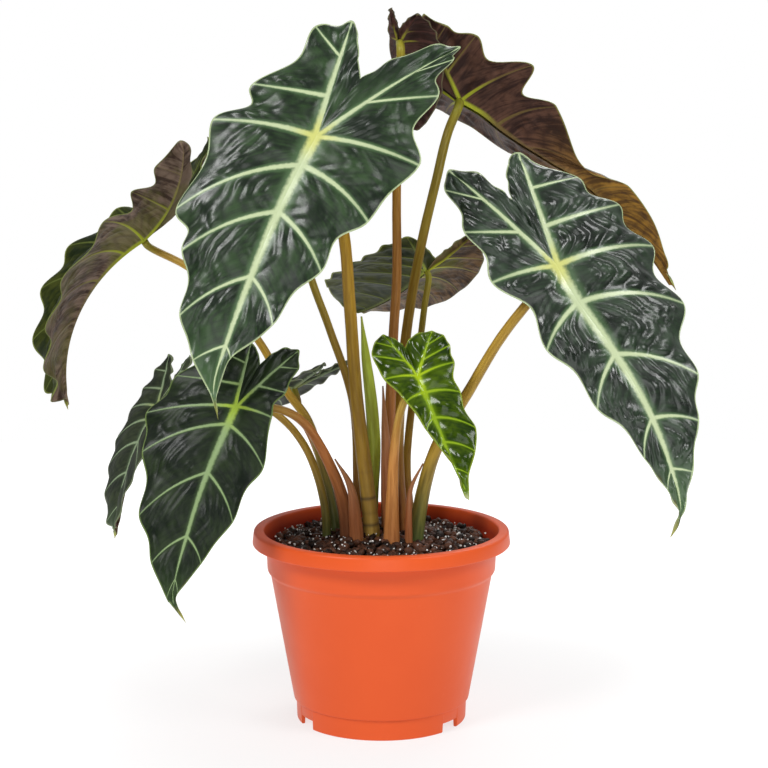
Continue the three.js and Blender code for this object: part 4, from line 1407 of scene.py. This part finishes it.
@dataclass(frozen=True)
class PetiolePlan:
    """Where a leaf's petiole stands and runs."""

    leaf: str
    base: tuple[float, float]
    base_radius: float
    top_radius: float
    route: tuple[tuple[float, float, float], ...]
    skin: Skin
    neck: float = NECK
    clearance: float = GAP

    def end(self, blade: Blade) -> list[Array]:
        """How the route ends.

        Args:
            blade: The petiole's blade.

        Returns:
            The last two points: square under the blade, and close to it.
        """
        junction = np.asarray(blade.plan.junction, float)
        under = THICKNESS / 2 + RIB_BELOW + self.clearance
        return [
            junction - blade.normal * (under + self.neck),
            junction - blade.normal * (under - STEM_REACH),
        ]

    def stem(self) -> Stem:
        """The petiole as a stem."""
        girth = tapering(self.base_radius, self.top_radius)
        return Stem(StemPlan(
            f"{self.leaf}_petiole", "petiole", self.base, self.route, girth,
            ridges=5, ridge_depth=0.025,
        ))


PETIOLES = (
    PetiolePlan("front_leaf", (-6, -2), 5.8, 3.6, (
        (-10, -3, 160), (-16, -8, 213), (-20, -15, 273), (-24, -26, 324), (-32, -36, 358)), Skin.GREEN),
    PetiolePlan("right_leaf", (22, -3), 5.8, 3.1, (
        (29, -5, 160), (38, -8, 187), (57, -12, 221), (76, -15, 254), (96, -18, 281)), Skin.GOLDEN),
    PetiolePlan("high_right_leaf", (14.5, 14), 4.3, 3.1, (
        (11, 18, 176), (16, 30, 248), (26, 46, 307), (37, 60, 353), (45, 72, 384)), Skin.OLIVE),
    PetiolePlan("left_leaf", (-30, 14), 3.9, 2.5, (
        (-37, 20, 155), (-49, 26, 194), (-63, 31, 213), (-80, 38, 243), (-101, 45, 269),
        (-128, 52, 293)), Skin.GOLDEN, neck=3),
    PetiolePlan("middle_back_leaf", (20, 24), 3.4, 2.2, (
        (17, 30, 160), (18, 38, 179), (27, 75, 245), (30, 95, 264)), Skin.OLIVE, neck=3),
    PetiolePlan("low_front_leaf", (-22, 0), 6, 2.5, (
        (-26, -6, 150), (-40, -18, 186), (-49, -26, 201), (-58, -33, 209), (-74, -45, 215)), Skin.RED),
    PetiolePlan("low_left_leaf", (-36, 3), 3.2, 2.2, (
        (-38, 3, 145), (-49, 2, 179), (-65, 0, 200), (-85, -3, 212), (-117, -8, 214)), Skin.GOLDEN),
    PetiolePlan("low_back_leaf", (-24, 26), 2.6, 1.9, (
        (-37, 32, 153), (-47, 46, 177), (-55, 56, 192)), Skin.RED),
    PetiolePlan("young_leaf", (6.5, -14), 6.9, 2.4, (
        (7, -15, 150), (9, -18, 189), (14, -27, 214)), Skin.ORANGE),
    PetiolePlan("crown_leaf", (4, 10), 4.4, 2.8, (
        (4, 10, 157), (6, 12, 210), (8, 14, 256), (10, 17, 290), (10, 26, 349), (12, 37, 413)),
        Skin.CROWN, clearance=1.1),
    PetiolePlan("upper_back_leaf", (-17, 15), 3.4, 2.5, (
        (-16, 16, 156), (-19, 17, 209), (-34, 19, 256), (-45, 22, 286), (-55, 27, 318)), Skin.OLIVE),
)

SHEATH_STEMS = (
    StemPlan("left_sheath", "sheath", (-15.5, -12),
             ((-16.5, -12.5, 134), (-20, -14, 158), (-30, -15, 176)),
             listed((4.5, 5, 4.2, 2.4, 0.5)), 1.0, 20.0),
    StemPlan("middle_sheath", "sheath", (5.5, 1.5), ((4, 1.8, 140), (3, 2, 180), (1, 2.5, 221)),
             listed((2.8, 4, 3.8, 2.6, 0.5)), 1.0),
    StemPlan("right_sheath", "sheath", (17.5, -13.5),
             ((17.5, -13.5, 138), (19, -14, 156), (27, -15, 173)),
             listed((2.6, 3, 2.6, 1.6, 0.5)), 0.9, -35.0),
)
SPEAR = StemPlan(
    "new_leaf_spear", "young_blade", (-7, 13),
    ((-6, 12, 150), (-5, 11, 177), (-7, 10, 211), (-10, 9, 237), (-13, 8, 266)),
    listed((3.4, 3.8, 4.2, 4.4, 4, 3, 0.6)), ridges=3, ridge_depth=0.05,
)


# Pot and soil


NOTCH_CORNER = 0.35
DRAIN_SIDES = 32


@dataclass
class Pot:
    """The tapered plastic pot: a turned wall with a notched foot and a drained floor."""

    height: float = 127
    rim_radius: float = 85
    opening_radius: float = 77.3
    lip_height: float = 9.3
    collar_radius: float = 75.8
    step_height: float = 98
    body_top: float = 73
    body_bottom: float = 58.4
    foot_radius: float = 56
    foot_height: float = 13.8
    wall: float = 2.2
    floor: float = 2.6
    boss_radius: float = 15
    notch_bearings: tuple[float, ...] = (86, 209.5, 323.3)
    notch_width: float = 15.4
    notch_height: float = 6
    drain_count: int = 6
    drain_radius: float = 4
    drain_ring: float = 36
    segments: int = 288

    def profile(self) -> Array:
        """Radius, height and roundness of each corner of the wall's section."""
        lip = self.height - self.lip_height
        below = self.foot_height - self.floor
        return np.array([
            (0, 0, 0), (self.boss_radius, 0, 0.6), (self.boss_radius + 1.5, below, 0.8),
            (self.foot_radius - self.wall - 0.6, below, 0.8),
            (self.foot_radius - self.wall, 0, 0.5), (self.foot_radius, 0, 0.9),
            (self.foot_radius + 0.5, self.foot_height, 0.6),
            (self.body_bottom - 0.4, self.foot_height, 1.6),
            (self.body_bottom + 0.1, self.foot_height + 2.8, 1.5),
            (self.body_top, self.step_height, 1.0),
            (self.collar_radius - 0.8, self.step_height + 2.2, 1.6),
            (self.collar_radius, lip, 0.8), (self.rim_radius - 0.2, lip, 1.1),
            (self.rim_radius - 1.3, self.height, 2.0),
            (self.opening_radius - 0.1, self.height, 1.4),
            (self.opening_radius - 1.4, lip, 1.5),
            (self.collar_radius - self.wall - 1, self.step_height + 2.4, 1.0),
            (self.body_top - self.wall, self.step_height - 1.5, 1.0),
            (self.body_bottom - self.wall, self.foot_height + 2, 3.0),
            (self.body_bottom - self.wall - 4, self.foot_height, 1.5), (0, self.foot_height, 0),
        ], float)

    def section(self) -> Array:
        """The section with each corner rounded by a short curve.

        A corner is cut back on both sides by its roundness, and a quadratic curve whose
        middle control point is the corner joins the two cuts.

        Returns:
            Radius and height of each point.
        """
        corners = self.profile()
        line = [corners[0, :2]]
        steps = np.linspace(0, 1, CORNER_STEPS)[:, None]
        for before, corner, after in zip(corners, corners[1:], corners[2:]):
            here = corner[:2]
            back, on = before[:2] - here, after[:2] - here
            reach = min(corner[2], 0.45 * np.linalg.norm(back), 0.45 * np.linalg.norm(on))
            start, end = here + unit(back) * reach, here + unit(on) * reach
            line.extend((1 - steps) ** 2 * start + 2 * steps * (1 - steps) * here + steps**2 * end)
        line.append(corners[-1, :2])
        return np.array(line)

    def build(self, material: bpy.types.Material) -> bpy.types.Object:
        """Turns the section about the axis, lifts the notches and drills the drains.

        Args:
            material: The pot's plastic.

        Returns:
            The piece.
        """
        section = self.section()
        bearing = np.linspace(0, 360, self.segments, endpoint=False)
        edge = math.degrees(self.notch_width / 2 / self.foot_radius)
        sides = [side * (edge + nudge) for side in (-1, 1) for nudge in (0.0, NOTCH_CORNER)]
        cuts = [notch + side for notch in self.notch_bearings for side in sides]
        bearing = np.unique(np.round(np.concatenate([bearing, np.mod(cuts, 360)]), 3))
        angle = np.radians(bearing)
        radius = np.broadcast_to(section[:, 0][:, None], (len(section), len(angle)))
        height = np.broadcast_to(section[:, 1][:, None], radius.shape).copy()
        turned = [(bearing - notch + 180) % 360 - 180 for notch in self.notch_bearings]
        away = np.min(np.abs(turned), axis=0)
        cut = away < edge + 0.1
        foot = (radius > self.foot_radius - self.wall - 1.2) & (radius < self.foot_radius + 0.6)
        low = foot & (height < self.notch_height) & cut[None, :]
        height = np.where(low, self.notch_height + height * 0.2, height)
        points = np.stack([radius * np.cos(angle), radius * np.sin(angle), height], axis=-1)
        # Share of the painted shade inside the pot: none at the rim, full from 5 mm below it.
        inside = smooth(self.height - 0.8, self.height - 5, height) * (
            np.arange(len(section))[:, None] > np.argmax(section[:, 1]) + 4
        )
        quads = grid_quads(len(section), len(angle), closed=True)
        sheet = Sheet(points.reshape(-1, 3), quads, None, {"inside": inside.ravel()})
        piece = sheet.piece("pot_detail", [material])
        self.drill(piece)
        return piece

    def drill(self, piece: bpy.types.Object) -> None:
        """Cuts the drain holes with short prisms, and applies the cut."""
        angle = 2 * np.pi * np.arange(DRAIN_SIDES) / DRAIN_SIDES
        parts = []
        for hole in range(self.drain_count):
            bearing = 2 * math.pi * hole / self.drain_count
            middle = (self.drain_ring * math.cos(bearing), self.drain_ring * math.sin(bearing))
            ends = (self.foot_height - 6, self.foot_height + 4)
            rings = [circle(self.drain_radius, end, angle, middle) for end in ends]
            points = np.vstack([*rings, *(ring.mean(axis=0)[None] for ring in rings)])
            parts.append(Sheet(points, capped(len(ends), DRAIN_SIDES)))
        cutter = joined(parts).piece("drain_cutter", [])
        cut = piece.modifiers.new("drains", "BOOLEAN")
        cut.operation = "DIFFERENCE"
        cut.solver = "EXACT"
        cut.object = cutter
        depsgraph = bpy.context.evaluated_depsgraph_get()
        made = bpy.data.meshes.new_from_object(piece.evaluated_get(depsgraph))
        piece.modifiers.clear()
        piece.data = made
        bpy.data.objects.remove(cutter)

    def dress(self, piece: bpy.types.Object) -> None:
        """Ties the piece to the frame."""
        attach(piece, "root")
        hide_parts("pot")


SOIL_LEVEL = 116.5
SOIL_MOUND = 5.5
SOIL_MOUND_SPREAD = 34.0
SOIL_RADIUS = 71.5
STEM_MIDDLE = (-6.0, 9.0)
FULL_TURN = 6.28  # a whole turn, as the draws of the crumbs take it


def soil_height(x: Array, y: Array) -> Array:
    """Height of the soil: a low mound round the stems, and swells of sine waves.

    Args:
        x: Distance to the right of the pot's axis.
        y: Distance behind it.

    Returns:
        The height over the floor at each place.
    """
    away = np.hypot(x - STEM_MIDDLE[0], y - STEM_MIDDLE[1])
    mound = SOIL_MOUND * np.exp(-((away / SOIL_MOUND_SPREAD) ** 2))
    slow = np.sin(0.31 * x + 1.3) * np.cos(0.27 * y - 0.4)
    quick = np.sin(0.55 * y + 0.2 * x) * np.cos(0.61 * x)
    return SOIL_LEVEL + mound + 0.65 * (slow + quick)


@dataclass(frozen=True)
class CrumbKind:
    """One kind of crumb that lies on the soil.

    sizes are the smallest and largest mean radius, and reach is how far from the middle
    they lie. squash is thickness over width, sink the depth in the soil as a share of the
    radius, near_stems whether they gather round the stems, and heap how far up among the
    other crumbs they may lie.
    """

    name: str
    count: int
    sizes: tuple[float, float]
    seed: int
    finish: CrumbFinish
    reach: float
    squash: float = 0.75
    sink: float = 0.25
    near_stems: bool = False
    heap: float = 0.0


GROUND_FINISH = CrumbFinish("soil_ground", (0.008, 0.005, 0.0035), (0.024, 0.015, 0.010), 0.95)
CRUMB_KINDS = (
    CrumbKind(
        "soil_bark", 1700, (1.4, 3.6), SEED,
        CrumbFinish("bark", (0.0050, 0.0024, 0.0017), (0.115, 0.043, 0.022), 0.42),
        SOIL_RADIUS - 2.4),
    CrumbKind(
        "soil_perlite", 620, (0.4, 0.95), SEED + 1,
        CrumbFinish("perlite", (0.66, 0.64, 0.60), (0.92, 0.91, 0.88), 0.7),
        SOIL_RADIUS - 1.2, squash=0.9, sink=0.0, heap=4.6),
    CrumbKind(
        "soil_husk", 220, (0.6, 1.7), SEED + 2,
        CrumbFinish("husk", (0.20, 0.085, 0.022), (0.52, 0.29, 0.085), 0.7),
        SOIL_RADIUS * 0.6, squash=0.4, sink=0.0, near_stems=True, heap=1.8),
)


@dataclass
class Soil:
    """The soil's surface, with crumbs of bark, perlite and husk lying on it."""

    depth_radius: float = 55.0
    floor: float = 14.5
    wall_height: float = 100.0
    rings: int = 90
    sectors: int = 240
    relief: float = 0.8
    crumb_sides: int = 8
    crumb_levels: int = 5
    crumb_wave: float = 0.16
    crumb_roughness: float = 0.10
    crumb_spread: float = 0.36

    def ground(self, material: bpy.types.Material) -> bpy.types.Object:
        """The body of the soil: a fine relief on top, and a plain plug below it.

        Args:
            material: The soil's finish.

        Returns:
            The piece.
        """
        angle = 2 * np.pi * np.arange(self.sectors) / self.sectors
        radius = (np.linspace(0, 1, self.rings + 1)[1:] * SOIL_RADIUS)[:, None]
        x, y = radius * np.cos(angle), radius * np.sin(angle)
        grit = value_noise(x + 200, y + 200, 3.5, 21) + 0.6 * value_noise(x + 90, y + 90, 1.6, 22)
        top = soil_height(x, y) - 1.2 + self.relief * grit
        walls = (
            (SOIL_RADIUS, self.wall_height), (self.depth_radius, self.floor + 3),
            (self.depth_radius - 3, self.floor),
        )
        cloud = np.vstack([
            np.stack([x, y, top], axis=-1).reshape(-1, 3),
            *(circle(reach, height, angle) for reach, height in walls),
            [[0, 0, float(soil_height(0, 0)) - 1.0], [0, 0, self.floor]],
        ])
        quads = capped(self.rings + len(walls), self.sectors, flipped=True)
        sheet = Sheet(cloud, quads, None, {"tone": np.full(len(cloud), 0.2)})
        return sheet.piece("soil_detail", [material])

    def ball(self) -> Array:
        """Points of a ball of rings, and then its two poles."""
        turn = 2 * np.pi * np.arange(self.crumb_sides) / self.crumb_sides
        tilt = (np.pi * np.arange(1, self.crumb_levels) / self.crumb_levels)[:, None]
        rings = np.sin(tilt) * np.cos(turn), np.sin(tilt) * np.sin(turn), np.cos(tilt)
        points = np.stack(np.broadcast_arrays(*rings), axis=-1).reshape(-1, 3)
        return np.vstack([points, [[0, 0, 1], [0, 0, -1]]])

    def crumbs(self, kind: CrumbKind) -> bpy.types.Object:
        """Scatters lumps of one kind over the soil.

        A lump is a ball whose radius varies by a slow wave of its direction and a little
        at random, squashed along one axis and turned at random.

        Args:
            kind: The kind of crumb.

        Returns:
            One piece with all the lumps.
        """
        draw = np.random.default_rng(kind.seed)
        count = kind.count
        ball = self.ball()
        bearing = draw.uniform(0, 2 * np.pi, count)
        if kind.near_stems:
            away = np.abs(draw.normal(0, self.crumb_spread * kind.reach, count))
        else:
            away = kind.reach * np.sqrt(draw.uniform(0, 1, count))
        x, y = away * np.cos(bearing), away * np.sin(bearing)
        if kind.near_stems:
            x, y = x + STEM_MIDDLE[0], y + STEM_MIDDLE[1]
        smallest, largest = kind.sizes
        size = smallest + (largest - smallest) * draw.uniform(0, 1, count) ** 1.7
        waves = draw.normal(0, 1, (count, 3))
        phase = draw.uniform(0, FULL_TURN, (count, 2))
        turns = ball @ (2.4 * rows_unit(waves)).T * 1.6 + phase[:, 0]
        lump = 1 + self.crumb_wave * np.sin(turns).T
        lump = lump + self.crumb_roughness * draw.normal(0, 1, lump.shape)
        long, wide = draw.uniform(0.8, 1.25, count), draw.uniform(0.7, 1.0, count)
        scale = np.stack([long, wide, np.full(count, kind.squash)], axis=1)
        body = ball[None] * lump[..., None] * scale[:, None] * size[:, None, None]
        axis = rows_unit(np.stack([draw.normal(0, spread, count) for spread in (1, 1, 0.4)], axis=1))
        lean = draw.normal(0, 0.5, count)
        spin = draw.uniform(0, FULL_TURN, count)
        body = turned_by(turned_by(body, np.tile([0.0, 0.0, 1.0], (count, 1)), spin), axis, lean)
        z = soil_height(x, y) - 0.6 + size * (kind.squash - kind.sink)
        z = z + draw.uniform(-0.5, 0.5, count) * size
        z = z + kind.heap * draw.uniform(0, 1, count)
        body = body + np.stack([x, y, z], axis=1)[:, None]
        tone = np.repeat(draw.uniform(0, 1, count), len(ball))
        shell = capped(self.crumb_levels - 1, self.crumb_sides, flipped=True)
        quads = (shell[None] + (np.arange(count) * len(ball))[:, None, None]).reshape(-1, 4)
        sheet = Sheet(body.reshape(-1, 3), quads, None, {"tone": tone})
        return sheet.piece(kind.name, [kind.finish.material()])

    def build(self) -> list[bpy.types.Object]:
        """Makes the ground and the kinds of crumb, in that order."""
        return [self.ground(GROUND_FINISH.material()), *(self.crumbs(kind) for kind in CRUMB_KINDS)]

    def dress(self, pieces: Sequence[bpy.types.Object]) -> None:
        """Ties the pieces to the frame."""
        for piece in pieces:
            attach(piece, "root")
        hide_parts("soil")


def turned_by(bodies: Array, axes: Array, angles: Array) -> Array:
    """Turns each body about its own axis by its own angle (Rodrigues' formula).

    Args:
        bodies: Bodies by points by coordinates.
        axes: One unit axis for each body.
        angles: One angle for each body.

    Returns:
        The turned bodies.
    """
    k = axes[:, None]
    cosine, sine = np.cos(angles)[:, None, None], np.sin(angles)[:, None, None]
    dot = (bodies * k).sum(axis=-1, keepdims=True)
    aside = np.cross(np.broadcast_to(k, bodies.shape), bodies)
    return bodies * cosine + aside * sine + k * dot * (1 - cosine)


# Studio


FLOOR_SIDES = 96


@dataclass(frozen=True)
class Lamp:
    """A square soft light that is turned towards the middle axis.

    place, aim_height and size are in metres, and power in watts.
    """

    name: str
    place: tuple[float, float, float]
    aim_height: float
    size: float
    power: float


LAMPS = (
    Lamp("key", (-1.0, -1.2, 1.5), 0.28, 0.6, 21),
    Lamp("fill", (1.2, -0.9, 1.3), 0.25, 0.7, 13),
    Lamp("low", (0.1, -1.7, 0.32), 0.2, 0.8, 4.5),
    Lamp("back", (0.5, 1.2, 1.7), 0.3, 1.0, 13),
)


@dataclass
class Studio:
    """A pale floor, soft lights and the camera of the photograph.

    The sky's strength is the product of two ramps, over the height and the depth of the
    direction.
    """

    camera_place: tuple[float, float, float] = (1.75, -1300.0, 421.0)
    aim_height: float = 222.7
    focal_pixels: float = 2020.7
    frame_pixels: float = 768.0
    sensor: float = 36.0
    floor_radius: float = 1100.0
    floor_colour: Colour = (0.28, 0.28, 0.28)
    floor_glow: tuple[float, float] = (0.70, 0.98)
    glow_reach: tuple[float, float] = (0.12, 0.5)
    sky_height: tuple[float, float, float, float] = (-0.2, 0.9, 0.26, 0.75)
    sky_depth: tuple[float, float, float, float] = (-0.6, 1.0, 0.3, 1.15)

    def floor(self) -> None:
        """Lays a round floor under the pot that glows to white away from it."""
        ring = np.arange(FLOOR_SIDES)
        points = circle(self.floor_radius, 0.0, 2 * np.pi * ring / FLOOR_SIDES)
        disc = Sheet(np.vstack([points, np.zeros((1, 3))]), fan(FLOOR_SIDES, ring))
        r = Recipe.named("studio_floor")
        away = r.node("VectorMath", {0: r.place()}, operation="LENGTH").outputs["Value"]
        glow = r.ramp(away, *self.glow_reach, *self.floor_glow)
        material = r.finish(
            self.floor_colour, 0.9, 0.0, emission_color=WHITE, emission_strength=glow,
        )
        disc.piece("floor", [material])

    def sky(self) -> None:
        """A white background whose light on the plant falls from above and behind."""
        world = bpy.data.worlds.new("studio")
        r = Recipe(world)
        parts = r.node("SeparateXYZ", {0: r.node("TexCoord").outputs["Generated"]}).outputs
        strength = r.times(r.ramp(parts["Z"], *self.sky_height), r.ramp(parts["Y"], *self.sky_depth))
        soft = r.node("Background", {"Color": WHITE, "Strength": strength}).outputs[0]
        plain = r.node("Background", {"Color": WHITE, "Strength": 1.0}).outputs[0]
        seen = r.node("LightPath").outputs["Is Camera Ray"]
        choice = r.node("MixShader", {0: seen, 1: soft, 2: plain}).outputs[0]
        r.node("OutputWorld", {"Surface": choice})
        bpy.context.scene.world = world

    def camera(self) -> None:
        """Places the camera level across, pitched down to the aim height."""
        data = bpy.data.cameras.new("camera")
        made = bpy.data.objects.new("camera", data)
        x, y, z = self.camera_place
        made.location = (x * METRES, y * METRES, z * METRES)
        pitch = math.atan2(z - self.aim_height, -y)
        made.rotation_euler = (math.pi / 2 - pitch, 0.0, 0.0)
        data.sensor_fit = "HORIZONTAL"
        data.sensor_width = self.sensor
        data.lens = data.sensor_width * self.focal_pixels / self.frame_pixels
        data.clip_end = 100.0
        bpy.context.scene.collection.objects.link(made)
        bpy.context.scene.camera = made

    def light(self, lamp: Lamp) -> None:
        """Adds a light, turned towards the middle axis."""
        data = bpy.data.lights.new(lamp.name, "AREA")
        data.shape = "SQUARE"
        data.size = lamp.size
        data.energy = lamp.power
        made = bpy.data.objects.new(lamp.name, data)
        back = unit(np.array(lamp.place) - (0.0, 0.0, lamp.aim_height))
        made.location = lamp.place
        made.rotation_euler = (math.acos(back[2]), 0.0, math.atan2(back[1], back[0]) + math.pi / 2)
        bpy.context.scene.collection.objects.link(made)

    def build(self) -> None:
        """Sets floor, camera, sky and lights."""
        self.floor()
        self.camera()
        self.sky()
        bpy.context.scene.view_settings.view_transform = "Standard"
        for lamp in LAMPS:
            self.light(lamp)


def report(piece: bpy.types.Object) -> None:
    """Names a piece and its number of faces in the log."""
    LOG.info("%s: %d faces", piece.name, len(piece.data.polygons))


def add(part: Blade | Stem | Pot, *build: object) -> None:
    """Builds one part, ties it to the frame and reports it.

    Args:
        part: The part.
        *build: What its build method takes.
    """
    piece = part.build(*build)
    part.dress(piece)
    report(piece)


def main() -> None:
    """Builds every sub-assembly over the frame and reports its pieces."""
    logging.basicConfig(level=logging.INFO, format="%(message)s")
    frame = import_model()

    faces, skins = leaf_faces(), stem_skins()
    blades = {plan.name: Blade(plan) for plan in PLANS}
    for blade in blades.values():
        add(blade, *faces[blade.plan.look])
    for petiole in PETIOLES:
        add(petiole.stem(), skins[petiole.skin], petiole.end(blades[petiole.leaf]))
    for plan in SHEATH_STEMS:
        add(Stem(plan), skins[Skin.SHEATH])
    add(Stem(SPEAR), skins[Skin.SPEAR])
    add(Pot(), PotPlastic().material())
    soil = Soil()
    pieces = soil.build()
    soil.dress(pieces)
    for piece in pieces:
        report(piece)
    rhizome = frame["nodes"]["rhizome"]
    rhizome.data.materials.clear()
    rhizome.data.materials.append(skins[Skin.RHIZOME])

    Studio().build()


if __name__ == "__main__":
    main()
